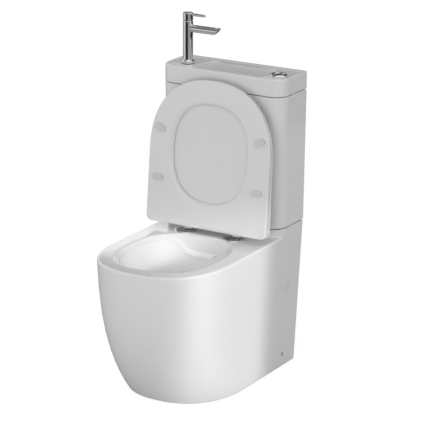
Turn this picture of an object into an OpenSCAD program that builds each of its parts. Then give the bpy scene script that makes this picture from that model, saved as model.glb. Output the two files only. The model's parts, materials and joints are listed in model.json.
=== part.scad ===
// Close-coupled toilet with a small wash basin and tap on top of the cistern.
// Millimetres. X to the right, the front of the pan towards -Y, Z up from the floor.
// X = 0 and Y = 0 are the middle of the overall box, and the wall is at +Y.

/* [Pan] */
// Projection of the pan from the wall to the front of the rim
pan_projection = 590; // [570:1:620]
// Height of the rim above the floor
rim_height = 395; // [385:1:430]
// Rise of the cistern plinth above the rim
plinth_rise = 23; // [18:1:30]
// Width of the pan at the top of the plinth
pan_top_width = 374; // [364:1:380]
// Width of the pan at the floor
pan_foot_width = 329; // [315:1:345]
// Length of the rounded nose at the rim
nose_length = 222; // [205:1:235]
// Squareness of the nose at the rim
nose_power = 2.5; // [2.2:0.05:2.8]
// How far the foot of the nose stands back from the rim
foot_setback = 121; // [100:1:130]
// Length of the rounded nose at the floor
foot_nose_length = 200; // [185:1:215]
// Squareness of the nose at the floor
foot_power = 2.3; // [2.1:0.05:2.6]
// How late the skirt curves in towards the floor
skirt_curve = 2.65; // [2:0.05:3]
// Radius of the outer edge of the rim
rim_edge_radius = 7; // [4:0.5:9]
// Thickness of the skirt walls
pan_wall = 11; // [9:0.5:13]
// Thickness of the deck behind the bowl
deck_thickness = 16; // [14:0.5:20]

/* [Bowl] */
// Width of the bowl opening
bowl_width = 272; // [256:1:280]
// Length of the bowl opening
bowl_length = 326; // [310:1:334]
// Width of the rim in front of the bowl
rim_front_land = 49; // [44:1:56]
// Squareness of the bowl opening
bowl_power = 2.5; // [2.2:0.05:2.8]
// Radius of the lip of the bowl
lip_radius = 7; // [5:0.5:9]
// Depth of the water shelf below the rim at the middle of the back
shelf_depth_back = 50; // [44:1:56]
// Depth of the water shelf below the rim at the sides and the front
shelf_depth_front = 11; // [10:0.5:14]
// Width of the water shelf at the middle of the back
shelf_width_back = 20; // [16:1:24]
// Width of the water shelf at the sides and the front
shelf_width_front = 4; // [3:0.5:6]
// How far the deep part of the shelf reaches to each side of the middle
shelf_reach = 98; // [85:1:110]
// Thickness of the bowl
bowl_wall = 10; // [8:0.5:12]
// Height of the bottom of the sump above the floor
sump_floor = 84; // [76:1:92]
// Width of the sump
sump_width = 74; // [66:1:84]
// Length of the sump
sump_length = 80; // [70:1:90]
// Distance of the back of the sump from the wall
sump_setback = 295; // [290:1:305]

/* [Trapway and outlet] */
// Radius of the trapway
trap_radius = 28; // [26:0.5:30]
// Thickness of the trapway
trap_wall = 8; // [7:0.5:10]
// Height of the centre of the trapway at its crest
trap_crest = 217; // [216:1:222]
// Height of the waste outlet's centre above the floor
outlet_height = 180; // [176:1:184]
// Outer radius of the waste outlet
outlet_radius = 51; // [49:0.5:53]
// Distance of the waste outlet's end from the wall
outlet_setback = 42; // [36:1:60]

/* [Cistern] */
// Width of the cistern and of the basin at the top
cistern_top_width = 385; // [375:1:400]
// Width of the cistern at its base
cistern_base_width = 376; // [368:1:384]
// Depth of the cistern and of the basin at the top
cistern_top_depth = 141; // [136:1:160]
// Depth of the cistern at its base
cistern_base_depth = 136; // [132:1:150]
// Height of the cistern's ceramic body
cistern_height = 371; // [350:1:400]
// Radius of the front corners
corner_radius = 40; // [32:1:46]
// Bow of the front face
front_bow = 3; // [1:0.5:6]
// Thickness of the cistern walls
cistern_wall = 10; // [8:0.5:12]
// Thickness of the cistern floor
cistern_floor = 14; // [12:0.5:18]
// Thickness of the pads under the cistern and under the basin
pad_thickness = 2; // [1.5:0.25:3]
// Distance between the two coupling bolts
coupling_pitch = 170; // [164:1:180]
// Distance of the flush outlet from the wall
flush_outlet_setback = 70; // [68:1:76]

/* [Basin] */
// Height of the basin's visible side
basin_height = 49; // [44:1:60]
// Thickness of the basin's deck and outer walls
basin_wall = 10; // [9:0.5:12]
// Width of the ledge that carries the tap, left of the recess
recess_left_land = 96.5; // [95:0.5:104]
// Width of the deck that carries the flush button, right of the recess
recess_right_land = 74.5; // [74:0.5:80]
// Width of the rim in front of the recess
recess_front_land = 12; // [10:0.5:16]
// Width of the rim behind the recess
recess_back_land = 18; // [14:0.5:24]
// Depth of the recess
recess_depth = 74; // [60:1:84]
// Depth of the sunk deck inside the raised edge
deck_sink = 2; // [1.5:0.25:4]
// Distance of the tap from the left end of the basin
tap_margin = 57.5; // [53:0.5:61]
// Distance of the tap and the button from the wall
tap_setback = 85; // [80:1:90]
// Distance of the flush button from the right end of the basin
button_margin = 41.5; // [38:0.5:43]

/* [Seat and lid] */
// Distance between the two seat hinges
hinge_pitch = 155; // [150:1:160]
// Distance of the hinge axis from the wall
hinge_setback = 194; // [190:1:198]
// Height of the hinge axis above the rim
hinge_rise = 31; // [30:0.5:33]
// Height of the underside of the lowered seat above the rim
seat_clearance = 6.5; // [6:0.25:8]
// Angle that the seat and lid turn through between up and down
open_angle = 96; // [90:1:100]
// Reach of the seat and lid in front of the hinge axis
seat_reach = 398; // [385:1:404]
// Reach of the seat and lid behind the hinge axis
seat_tail = 13.5; // [10:0.5:15]
// Width of the seat and lid
seat_width = 380; // [366:1:386]
// Length of the rounded nose of the seat and lid
seat_nose_length = 208; // [195:1:220]
// Squareness of the nose of the seat and lid
seat_power = 2.3; // [2.1:0.05:2.6]
// Thickness of the seat at the hinges
seat_thickness_back = 15; // [14:0.5:16]
// Thickness of the seat at the front
seat_thickness_front = 6; // [5:0.5:10]
// Thickness of the lid at the hinges
lid_thickness_back = 14.5; // [13.5:0.5:16]
// Thickness of the lid at the front
lid_thickness_front = 4.5; // [4:0.5:8]
// Gap between the seat and the lid
lid_gap = 1.6; // [1.4:0.1:2]
// Width of the hole in the seat
seat_hole_width = 232; // [216:1:240]
// Length of the hole in the seat
seat_hole_length = 272; // [256:1:282]
// Distance from the hinge axis to the middle of the hole in the seat
seat_hole_middle = 195; // [188:1:200]
// Width of the sloped border round the hole, on the underside
seat_hole_bevel = 11; // [8:0.5:14]
// Radius of the round covers under the hinges
rosette_radius = 31; // [28:0.5:33]

/* [Tap] */
// Radius of the tap's column
tap_radius = 14; // [13:0.25:16]
// Height of the tap above the basin's raised edge
tap_height = 141; // [125:1:160]
// Height of the turning cap at the top of the tap
tap_cap_height = 21; // [19:0.5:25]
// Gap between the turning cap and the column
tap_seam = 1; // [0.8:0.1:1.5]
// Reach of the spout from the column's axis
spout_reach = 105.5; // [90:0.5:115]
// Radius of the spout
spout_radius = 10.5; // [9:0.25:11.5]
// Height of the spout's centre above the basin's raised edge
spout_height = 97; // [85:1:104]
// Length of the pin lever from the column's axis
lever_reach = 56; // [45:1:70]

/* [Flush] */
// Radius of the button's chrome ring
bezel_radius = 24.5; // [23:0.25:27]
// Height of the button's chrome ring above the deck
bezel_height = 6; // [4:0.5:8]
// Radius of the two half buttons
button_radius = 14.2; // [12:0.1:15]
// Gap between moving faces
running_gap = 0.3; // [0.3:0.05:0.5]
// Travel of the buttons
button_travel = 6; // [4:0.5:7]
// Lift of the flush valve's overflow tube
valve_lift = 12; // [10:0.5:16]
// Travel of the fill valve's float
float_travel = 60; // [50:1:65]

/* [Fixings] */
// Radius of the fill valve's threaded tail
inlet_radius = 10.4; // [9.5:0.1:11]
// From the wall to the axes of the two supply tails
inlet_setback = 36; // [34:0.5:38]
// Height of the side covers above the floor
side_cap_height = 249; // [240:1:260]
// Distance of the side covers and side screws from the wall
side_cap_setback = 70; // [64:1:76]
// Radius of the side covers
side_cap_radius = 19.5; // [17:0.5:22]
// Height of the side screws above the floor
side_screw_height = 37; // [34:1:42]
// Radius of the holes for the side screws
side_screw_hole = 7; // [6.5:0.25:8]
// Radius of the floor holes in the fixing brackets
floor_hole_radius = 4; // [3:0.25:5]

/* [Hidden] */
$fn = 48;

// Colours
ceramic_white = [0.95, 0.95, 0.95];
plastic_white = [0.92, 0.92, 0.92];
chrome_grey = [0.78, 0.79, 0.80];
rubber_grey = [0.45, 0.46, 0.47];
brass_yellow = [0.80, 0.66, 0.36];
plastic_grey = [0.70, 0.71, 0.73];

// Levels and planes
wall_y = pan_projection / 2;
plinth_z = rim_height + plinth_rise;
cistern_z = plinth_z + pad_thickness;
cistern_top_z = cistern_z + cistern_height;
basin_z = cistern_top_z + pad_thickness;
basin_top_z = basin_z + basin_height;
deck_z = basin_top_z - deck_sink;
cistern_inside_z = cistern_z + cistern_floor;
flush_y = wall_y - flush_outlet_setback;
tap_y = wall_y - tap_setback;
tap_offset = cistern_top_width / 2 - tap_margin;
button_offset = cistern_top_width / 2 - button_margin;
hinge_y = wall_y - hinge_setback;
hinge_z = rim_height + hinge_rise;
cut = 1;             // how far a cutting solid passes a face

// ---------------------------------------------------------------- curves
function mix(a, b, t) = a + (b - a) * t;
function ease(t) = let (c = min(max(t, 0), 1)) c * c * (3 - 2 * c);
function signed_power(v, p) = sign(v) * pow(abs(v), p);

// Points of a superellipse quarter by quarter, anticlockwise from above
function oval(half_w, half_l, middle_y, power, steps) =
    [for (i = [0 : steps - 1]) let (a = 360 * i / steps)
        [half_w * signed_power(cos(a), 2 / power), middle_y + half_l * signed_power(sin(a), 2 / power)]];

// Straight sides from the back and a superellipse nose at the front
function nosed_plan(half_w, back_y, nose_y, reach, power, steps) = concat(
    [for (i = [0 : steps]) let (a = 180 + 180 * i / steps)
        [half_w * signed_power(cos(a), 2 / power), nose_y + reach * signed_power(sin(a), 2 / power)]],
    [[half_w, back_y], [-half_w, back_y]]);

// Flat back, rounded front corners and a front face that bows out a little
function tank_plan(half_w, back_y, depth, radius, bow, arc_steps = 9, bow_steps = 6) =
    let (flat_w = half_w - radius,
         front_y = back_y - depth,
         corner_y = front_y + bow * pow(flat_w / half_w, 2) + radius)
    concat(
        [for (i = [0 : arc_steps]) let (a = 180 + 90 * i / arc_steps)
            [-flat_w + radius * cos(a), corner_y + radius * sin(a)]],
        [for (i = [1 : bow_steps - 1]) let (x = mix(-flat_w, flat_w, i / bow_steps))
            [x, front_y + bow * pow(x / half_w, 2)]],
        [for (i = [0 : arc_steps]) let (a = 270 + 90 * i / arc_steps)
            [flat_w + radius * cos(a), corner_y + radius * sin(a)]],
        [[half_w, back_y], [-half_w, back_y]]);

function at_height(plan, z) = [for (p = plan) [p[0], p[1], z]];

// A closed solid through a stack of rings that have the same number of points, lowest ring first
module loft(rings) {
    n = len(rings[0]);
    m = len(rings);
    polyhedron(
        points = [for (ring = rings) each ring],
        faces = concat(
            [[for (i = [0 : n - 1]) i]],
            [[for (i = [n - 1 : -1 : 0]) (m - 1) * n + i]],
            [for (j = [0 : m - 2], i = [0 : n - 1])
                let (a = j * n + i, b = j * n + (i + 1) % n)
                each [[a, a + n, b + n], [a, b + n, b]]]));
}

// Both copies of a piece that comes in a mirrored pair
module pair(x) {
    for (side = [-1, 1]) translate([side * x, 0, 0]) children();
}

module tube(outer, inner, height) {
    difference() {
        cylinder(r = outer, h = height);
        translate([0, 0, -cut]) cylinder(r = inner, h = height + 2 * cut);
    }
}

// A hexagon nut with its bore
module hex_nut(across, bore, height) {
    difference() {
        cylinder(r = across / 2 / cos(30), h = height, $fn = 6);
        translate([0, 0, -cut]) cylinder(r = bore, h = height + 2 * cut);
    }
}

// ---------------------------------------------------------------- pan
skirt_steps = 30;
function pan_half_width(z) = mix(pan_foot_width, pan_top_width, z / plinth_z) / 2;
function pan_front_y(z) = -wall_y + foot_setback * pow(1 - min(z / rim_height, 1), skirt_curve);
function skirt_plan(z, inset, back_y) =
    let (t = min(max(z, 0) / rim_height, 1),
         reach = mix(foot_nose_length, nose_length, t),
         nose_y = pan_front_y(max(z, 0)) + reach)
    nosed_plan(pan_half_width(max(z, 0)) - inset, back_y, nose_y, reach - inset,
               mix(foot_power, nose_power, t), skirt_steps);

foot_edge = 3;        // rounding of the edge on the floor
module skirt() {
    levels = concat(
        [[0, foot_edge], [foot_edge / 3, foot_edge / 4], [foot_edge, 0]],
        [for (t = [0.04, 0.09, 0.15, 0.23, 0.33, 0.46, 0.62, 0.8]) [t * rim_height, 0]],
        [for (a = [0 : 22.5 : 90])
            [rim_height - rim_edge_radius * (1 - sin(a)), rim_edge_radius * (1 - cos(a))]]);
    loft([for (level = levels) at_height(skirt_plan(level[0], level[1], wall_y), level[0])]);
}

// The raised plinth under the cistern, with a hollow foot where it meets the deck
plinth_fillet = 10;
function plinth_plan(z, grow) =
    tank_plan(pan_half_width(z), wall_y, cistern_base_depth + grow, corner_radius + grow / 2, front_bow);
module plinth() {
    base = rim_height - deck_thickness / 2;
    top_edge = 2;
    loft(concat(
        [at_height(plinth_plan(base, plinth_fillet), base)],
        [for (a = [0 : 30 : 90])
            let (z = rim_height + plinth_fillet * (1 - cos(a)))
            at_height(plinth_plan(z, plinth_fillet * (1 - sin(a))), z)],
        [at_height(plinth_plan(plinth_z - top_edge, 0), plinth_z - top_edge),
         at_height(plinth_plan(plinth_z, -top_edge / 2), plinth_z)]));
}

// Space inside the skirt, open at the floor and at the wall
plate = 14;           // thickness of the plinth's top plate
module skirt_hollow() {
    top = rim_height - deck_thickness;
    loft([for (z = [-cut, 0.1 * top, 0.25 * top, 0.5 * top, 0.75 * top, top])
        at_height(skirt_plan(z, pan_wall, wall_y + cut), z)]);
    loft([for (z = [top - 2 * cut, plinth_z - plate])
        at_height(tank_plan(pan_half_width(z) - pan_wall, wall_y + cut,
                            cistern_base_depth - pan_wall + cut, corner_radius - pan_wall, front_bow), z)]);
}

// Bowl: a rounded lip, a water shelf that falls from front to back, and a funnel to the sump
bowl_steps = 40;
bowl_front_y = -wall_y + rim_front_land;
bowl_middle_y = bowl_front_y + bowl_length / 2;
// 1 along the middle of the back, where the shelf is deep and wide, and 0 along the sides and the front
shelf_spread = 1.6;
function shelf_share(p) =
    p[1] > bowl_middle_y ? ease(shelf_spread * (1 - abs(p[0]) / shelf_reach)) : 0;
function shelf_drop(p) = mix(shelf_depth_front, shelf_depth_back, shelf_share(p));
function bowl_oval(grow) =
    oval(bowl_width / 2 + grow, bowl_length / 2 + grow, bowl_middle_y, bowl_power, bowl_steps);
function bowl_ring(grow, z) = at_height(bowl_oval(grow), z);
// The shelf's rings follow its falling line, so their points have heights of their own
shelf_draw = 2;       // how far the wall above the shelf slopes in
function shelf_ring(share, below) =
    [for (p = bowl_oval(-shelf_draw))
        let (inward = share * mix(shelf_width_front, shelf_width_back, shelf_share(p)),
             scale_x = 1 - inward / (bowl_width / 2),
             scale_y = 1 - inward / (bowl_length / 2))
        [p[0] * scale_x, mix(bowl_middle_y, p[1], scale_y), rim_height - shelf_drop(p) - below]];
// Top of the small fillet between the shelf and the wall above it
shelf_fillet = 4;
function fillet_ring() =
    [for (p = bowl_oval(-shelf_draw / 2))
        [p[0], p[1], rim_height - max(shelf_drop(p) - shelf_fillet, lip_radius + 0.5)]];

// Rings of the funnel, from 0 at the sump to 1 below the shelf
funnel_levels = [0, 0.07, 0.18, 0.34, 0.54, 0.77, 1];
funnel_top_z = rim_height - shelf_depth_back - 24;
sump_back_y = wall_y - sump_setback;
sump_front_y = sump_back_y - sump_length;
function funnel_ring(level, grow, drop) =
    let (half_w = mix(sump_width / 2, 0.87 * bowl_width / 2, pow(level, 0.7)),
         front_y = mix(sump_front_y, bowl_front_y + 14, pow(level, 0.75)),
         back_y = mix(sump_back_y, bowl_front_y + bowl_length - shelf_width_back - 4, pow(level, 1.4)))
    at_height(oval(half_w + grow, (back_y - front_y) / 2 + grow, (back_y + front_y) / 2,
                   mix(2.1, bowl_power, level), bowl_steps),
              mix(sump_floor, funnel_top_z, level) - drop);

module bowl_cut() {
    loft(concat(
        [for (level = funnel_levels) funnel_ring(level, 0, 0)],
        [shelf_ring(1, 10), shelf_ring(1, 3), shelf_ring(0.8, 0.8), shelf_ring(0.2, 0), fillet_ring()],
        [for (a = [0 : 22.5 : 90])
            bowl_ring(lip_radius * (1 - cos(a)), rim_height - lip_radius * (1 - sin(a)))],
        [bowl_ring(lip_radius, rim_height + cut)]));
}

module bowl_shell() {
    loft(concat(
        [for (level = funnel_levels) funnel_ring(level, bowl_wall, level == 0 ? bowl_wall : bowl_wall / 3)],
        [bowl_ring(bowl_wall - shelf_width_front, rim_height - shelf_depth_back),
         bowl_ring(bowl_wall, rim_height - deck_thickness / 2)]));
}

// Trapway in the plane X = 0: under the dip, up over the crest and down to the outlet.
// Each point of its line has its Y, its Z and its slope
rise_angle = 60;      // slope of the run up to the crest
fall_angle = 45;      // slope of the run down from it
dip_bend = 55;        // centre line radii of the three bends
crest_bend = 50;
drop_bend = 45;
trap_start_z = sump_floor + trap_radius;
rise_run = (trap_crest - trap_start_z - (dip_bend + crest_bend) * (1 - cos(rise_angle))) / sin(rise_angle);
fall_run = (trap_crest - outlet_height - (crest_bend + drop_bend) * (1 - cos(fall_angle))) / sin(fall_angle);
crest_y = sump_back_y + (dip_bend + crest_bend) * sin(rise_angle) + rise_run * cos(rise_angle);
trap_end_y = crest_y + (crest_bend + drop_bend) * sin(fall_angle) + fall_run * cos(fall_angle);
socket = 14;          // how far the trapway's end reaches into the outlet
trap_line = concat(
    [for (a = [0 : 15 : rise_angle])
        [sump_back_y + dip_bend * sin(a), trap_start_z + dip_bend * (1 - cos(a)), a]],
    [for (a = [rise_angle : -15 : -fall_angle])
        [crest_y - crest_bend * sin(a), trap_crest - crest_bend * (1 - cos(a)), a]],
    [for (a = [-fall_angle : 15 : 0])
        [trap_end_y + drop_bend * sin(a), outlet_height + drop_bend * (1 - cos(a)), a]],
    [[trap_end_y + socket, outlet_height, 0]]);
trap_sides = 16;
module trapway(radius, lead) {
    loft([for (p = concat([[sump_back_y - lead, trap_start_z, 0]], trap_line))
        [for (i = [0 : trap_sides - 1]) let (a = 360 * (i + 0.5) / trap_sides)
            [radius * sin(a), p[0] - radius * cos(a) * sin(p[2]), p[1] + radius * cos(a) * cos(p[2])]]]);
}

outlet_wall = 8;
outlet_bore = outlet_radius - outlet_wall;
outlet_end_y = wall_y - outlet_setback;
outlet_start_y = trap_end_y + socket - outlet_wall;
module outlet(radius, start_y, end_y) {
    translate([0, start_y, outlet_height]) rotate([-90, 0, 0]) cylinder(r = radius, h = end_y - start_y);
}

// Round well in the plinth for the cistern's outlet, and the flat duct from it to the back of the bowl,
// where the water comes out through a slot in the shelf, along the foot of the wall
well_radius = 48;
well_depth = 24;
well_wall = 9;
well_port = 27;
port_depth = 20;
duct_width = 60;
duct_wall = 7;
slot_depth = 8;
slot_width = 3.5;
slot_z = rim_height - shelf_depth_back + 0.2;
slot_y = bowl_front_y + bowl_length - shelf_draw;
duct_top_z = plinth_z - well_depth - 12;
module duct(grow) {
    hull() {
        translate([-duct_width / 2 - grow, flush_y - 20, duct_top_z - 14 - grow])
            cube([duct_width + 2 * grow, 40 + grow, 14 + 2 * grow]);
        translate([-duct_width / 2 - grow, slot_y - slot_width, slot_z - slot_depth - grow])
            cube([duct_width + 2 * grow, slot_width, slot_depth + grow]);
    }
}

// The two supplies come up through the plinth at its back, one at each side
fill_x = 128;
tap_inlet_x = 132;
inlet_y = wall_y - inlet_setback;
inlet_plate_hole = 24;
seat_hole_radius = 7;
coupling_hole = 6;
module pan() {
    color(ceramic_white) difference() {
        union() {
            difference() {
                union() {
                    skirt();
                    plinth();
                }
                skirt_hollow();
            }
            bowl_shell();
            trapway(trap_radius + trap_wall, trap_wall);
            outlet(outlet_radius, outlet_start_y, outlet_end_y);
            translate([0, flush_y, plinth_z - well_depth - port_depth - well_wall])
                cylinder(r = well_radius + well_wall, h = well_depth + port_depth + well_wall - cut);
            duct(duct_wall);
        }
        bowl_cut();
        trapway(trap_radius, sump_length / 2);
        outlet(outlet_bore, outlet_start_y + outlet_wall, outlet_end_y + cut);
        translate([0, flush_y, plinth_z - well_depth]) cylinder(r = well_radius, h = well_depth + cut);
        translate([0, flush_y, plinth_z - well_depth - port_depth]) cylinder(r = well_port, h = well_depth);
        duct(0);
        pair(hinge_pitch / 2) translate([0, rosette_y, rim_height - 2 * deck_thickness])
            cylinder(r = seat_hole_radius, h = 3 * deck_thickness);
        pair(coupling_pitch / 2) translate([0, flush_y, plinth_z - 2 * plate])
            cylinder(r = coupling_hole, h = 3 * plate);
        for (x = [-tap_inlet_x, fill_x]) translate([x, inlet_y, plinth_z - 2 * plate])
            cylinder(r = inlet_plate_hole, h = 3 * plate);
        for (side = [-1, 1]) {
            on_side(side, side_cap_height) translate([0, 0, -2 * pan_wall])
                cylinder(r = side_cap_hub + 0.2, h = 3 * pan_wall);
            on_side(side, side_screw_height) translate([0, 0, -2 * pan_wall])
                cylinder(r = side_screw_hole, h = 3 * pan_wall);
        }
    }
}

// A place on the pan's slanting side, with its own Z axis square to the surface
side_cap_y = wall_y - side_cap_setback;
side_cap_hub = side_cap_radius - 3.5;
side_slant = atan((pan_top_width - pan_foot_width) / 2 / plinth_z);
module on_side(side, z) {
    translate([side * pan_half_width(z), side_cap_y, z]) rotate([0, side * (90 + side_slant), 0]) children();
}

// ---------------------------------------------------------------- cistern
function cistern_share(z) = (z - cistern_z) / cistern_height;
function cistern_plan(z, inset) =
    tank_plan(mix(cistern_base_width, cistern_top_width, cistern_share(z)) / 2 - inset, wall_y,
              mix(cistern_base_depth, cistern_top_depth, cistern_share(z)) - inset,
              corner_radius - inset, front_bow);
cistern_edge = 3;
inside_back = wall_y - cistern_wall;
module cistern_hollow() {
    loft([for (z = [cistern_inside_z, cistern_top_z + cut])
        at_height(tank_plan(mix(cistern_base_width, cistern_top_width, cistern_share(z)) / 2 - cistern_wall,
                            inside_back,
                            mix(cistern_base_depth, cistern_top_depth, cistern_share(z)) - 2 * cistern_wall,
                            corner_radius - cistern_wall, front_bow), z)]);
}
inlet_shank = inlet_radius + 0.8;
inlet_hole = inlet_shank + 0.6;
outlet_hole = 33;
module cistern() {
    color(ceramic_white) difference() {
        loft([at_height(cistern_plan(cistern_z, cistern_edge), cistern_z),
              at_height(cistern_plan(cistern_z + cistern_edge / 3, cistern_edge / 4),
                        cistern_z + cistern_edge / 3),
              at_height(cistern_plan(cistern_z + cistern_edge, 0), cistern_z + cistern_edge),
              at_height(cistern_plan(cistern_top_z - cistern_edge, 0), cistern_top_z - cistern_edge),
              at_height(cistern_plan(cistern_top_z - cistern_edge / 3, cistern_edge / 4),
                        cistern_top_z - cistern_edge / 3),
              at_height(cistern_plan(cistern_top_z, cistern_edge), cistern_top_z)]);
        cistern_hollow();
        floor_hole(0, flush_y, outlet_hole);
        floor_hole(-coupling_pitch / 2, flush_y, coupling_hole);
        floor_hole(coupling_pitch / 2, flush_y, coupling_hole);
        floor_hole(fill_x, inlet_y, inlet_hole);
        floor_hole(-tap_inlet_x, inlet_y, inlet_hole);
    }
}
module floor_hole(x, y, radius) {
    translate([x, y, cistern_z - cut]) cylinder(r = radius, h = cistern_floor + 2 * cut);
}

// Rubber pads between the plinth and the cistern, two at each end
module cistern_pads() {
    color(rubber_grey) for (y = [flush_y - 36, flush_y + 40])
        pair(cistern_base_width / 2 - 18) translate([0, y, plinth_z + pad_thickness / 2])
            cube([14, 30, pad_thickness], center = true);
}

// ---------------------------------------------------------------- basin
basin_edge = 4;
function basin_plan(inset) =
    tank_plan(cistern_top_width / 2 - inset, wall_y, cistern_top_depth - inset,
              corner_radius - inset, front_bow);
// The raised edge is widest at the back, and slopes down to the sunk deck
function sunk_plan(inset) =
    tank_plan(cistern_top_width / 2 - inset, wall_y - inset - 4, cistern_top_depth - inset - 14,
              corner_radius - inset / 2, front_bow);
recess_front_y = wall_y - cistern_top_depth + recess_front_land;
recess_back_y = wall_y - recess_back_land;
recess_y = (recess_front_y + recess_back_y) / 2;
recess_half_w = (cistern_top_width - recess_left_land - recess_right_land) / 2;
recess_offset = (recess_left_land - recess_right_land) / 2;
recess_half_d = (recess_back_y - recess_front_y) / 2;
recess_floor_z = basin_top_z - recess_depth;
recess_steps = 44;
function recess_ring(inset_x, inset_y, z, power) =
    [for (p = oval(recess_half_w - inset_x, recess_half_d - inset_y, recess_y, power, recess_steps))
        [p[0] + recess_offset, p[1], z]];
recess_lip = 5;
module recess_cut() {
    loft([recess_ring(46, recess_half_d - waste_flange - 2, recess_floor_z, 2.6),
          recess_ring(33, 20, recess_floor_z + 1, 2.8),
          recess_ring(20, 13, recess_floor_z + 6, 3.2),
          recess_ring(11, 8, recess_floor_z + 16, 3.8),
          recess_ring(6, 5, recess_floor_z + 32, 4.4),
          recess_ring(1.5, 1.5, deck_z - recess_lip - 4, 4.8),
          recess_ring(0, 0, deck_z - recess_lip, 4.8),
          recess_ring(-recess_lip * 0.3, -recess_lip * 0.3, deck_z - recess_lip * 0.3, 4.8),
          recess_ring(-recess_lip, -recess_lip, deck_z, 4.8),
          recess_ring(-recess_lip, -recess_lip, basin_top_z + cut, 4.8)]);
}
recess_wall = 7;
module recess_shell() {
    loft([recess_ring(30, recess_half_d - waste_flange - 6, recess_floor_z - recess_wall, 2.8),
          recess_ring(12, 8, recess_floor_z - 3, 3.4),
          recess_ring(3, 1, recess_floor_z + 14, 4.2),
          recess_ring(-2, -3, recess_floor_z + 34, 4.8),
          recess_ring(-recess_wall, -recess_wall, basin_under_z + cut, 4.8)]);
}
tap_hole = 17.5;
button_hole = 20;
waste_hole = 22;
waste_x = recess_offset;
module basin_top() {
    color(ceramic_white) difference() {
        union() {
            difference() {
                loft([at_height(basin_plan(basin_edge / 2), basin_z),
                      at_height(basin_plan(0), basin_z + basin_edge / 2),
                      at_height(basin_plan(0), basin_top_z - basin_edge),
                      at_height(basin_plan(basin_edge * 0.3), basin_top_z - basin_edge * 0.3),
                      at_height(basin_plan(basin_edge), basin_top_z)]);
                basin_hollow();
            }
            recess_shell();
        }
        loft([at_height(sunk_plan(15), deck_z),
              at_height(sunk_plan(11), deck_z + deck_sink * 0.3),
              at_height(sunk_plan(6), basin_top_z),
              at_height(sunk_plan(6), basin_top_z + cut)]);
        recess_cut();
        translate([-tap_offset, tap_y, basin_z]) cylinder(r = tap_hole, h = basin_height + cut);
        translate([button_offset, tap_y, basin_z]) cylinder(r = button_hole, h = basin_height + cut);
        translate([waste_x, recess_y, recess_floor_z - 2 * recess_wall])
            cylinder(r = waste_hole, h = 3 * recess_wall);
    }
}
basin_under_z = deck_z - basin_wall;
module basin_hollow() {
    loft([for (z = [basin_z - cut, basin_under_z])
        at_height(tank_plan(cistern_top_width / 2 - basin_wall - 4, wall_y - basin_wall - 4,
                            cistern_top_depth - 2 * basin_wall - 8, corner_radius - basin_wall - 4,
                            front_bow), z)]);
}

// Rubber bumpers between the cistern's rim and the basin
module basin_pads() {
    inset = cistern_wall / 2 + 1;
    color(rubber_grey)
        for (side = [-1, 1], y = [tap_y, tap_y + 60])
            translate([side * (cistern_top_width / 2 - inset), y, cistern_top_z + pad_thickness / 2])
                cube([6, 14, pad_thickness], center = true);
}

// Grid waste that lets the basin drain into the cistern
waste_flange = 27;
waste_tail = 20.5;
waste_length = 46;
module basin_waste() {
    color(chrome_grey) translate([waste_x, recess_y, recess_floor_z]) difference() {
        union() {
            rotate_extrude()
                polygon([[0, 0], [waste_flange, 0], [waste_flange - 0.5, 1.4],
                         [waste_flange - 5, 2.6], [0, 1.6]]);
            translate([0, 0, -waste_length]) cylinder(r = waste_tail, h = waste_length + 1);
        }
        translate([0, 0, -waste_length - cut]) cylinder(r = waste_tail - 2.5, h = waste_length - cut);
        for (a = [0 : 60 : 359]) rotate(a) translate([10.5, 0, -5]) cylinder(r = 3.2, h = 10);
        translate([0, 0, -5]) cylinder(r = 3.2, h = 10);
    }
}
module basin_waste_nut() {
    color(plastic_white) translate([waste_x, recess_y, recess_floor_z - recess_wall - 12])
        hex_nut(56, waste_tail + 0.1, 11.7);
}

// ---------------------------------------------------------------- seat and lid
// Both are drawn lowered, about the hinge axis, and then turned up to rest
module raised() {
    translate([0, hinge_y, hinge_z]) rotate([-open_angle, 0, 0]) children();
}
seat_steps = 48;
seat_under = -(hinge_rise - seat_clearance);
function seat_top(y) = seat_under + mix(seat_thickness_back, seat_thickness_front, -y / seat_reach);
function lid_under(y) = seat_top(y) + lid_gap;
function lid_top(y) = lid_under(y) + mix(lid_thickness_back, lid_thickness_front, -y / seat_reach);
// Plan of the seat: a superellipse nose and rounded corners at the hinge end
tail_radius = 16;
function seat_plan(inset) =
    let (half_w = seat_width / 2 - inset,
         r = max(tail_radius - inset, 2),
         back = seat_tail - inset,
         nose_y = -(seat_reach - seat_nose_length))
    concat(
        [for (i = [0 : seat_steps]) let (a = 180 + 180 * i / seat_steps)
            [half_w * signed_power(cos(a), 2 / seat_power),
             nose_y + (seat_nose_length - inset) * signed_power(sin(a), 2 / seat_power)]],
        [for (a = [0 : 18 : 90]) [half_w - r + r * cos(a), back - r + r * sin(a)]],
        [for (a = [90 : 18 : 180]) [-half_w + r + r * cos(a), back - r + r * sin(a)]]);
// A plan laid at a share of the seat's or the lid's thickness, 0 on the underside and 1 on top
function in_seat(plan, share) = [for (p = plan) [p[0], p[1], mix(seat_under, seat_top(p[1]), share)]];
function in_lid(plan, share) = [for (p = plan) [p[0], p[1], mix(lid_under(p[1]), lid_top(p[1]), share)]];
function hole_plan(grow) =
    oval(seat_hole_width / 2 + grow, seat_hole_length / 2 + grow, -seat_hole_middle, 2.2, seat_steps);
// Half the seat's width at a distance in front of the hinge axis
function seat_half_width(reach) =
    let (t = max(reach - (seat_reach - seat_nose_length), 0) / seat_nose_length)
    seat_width / 2 * pow(1 - pow(t, seat_power), 1 / seat_power);

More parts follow.
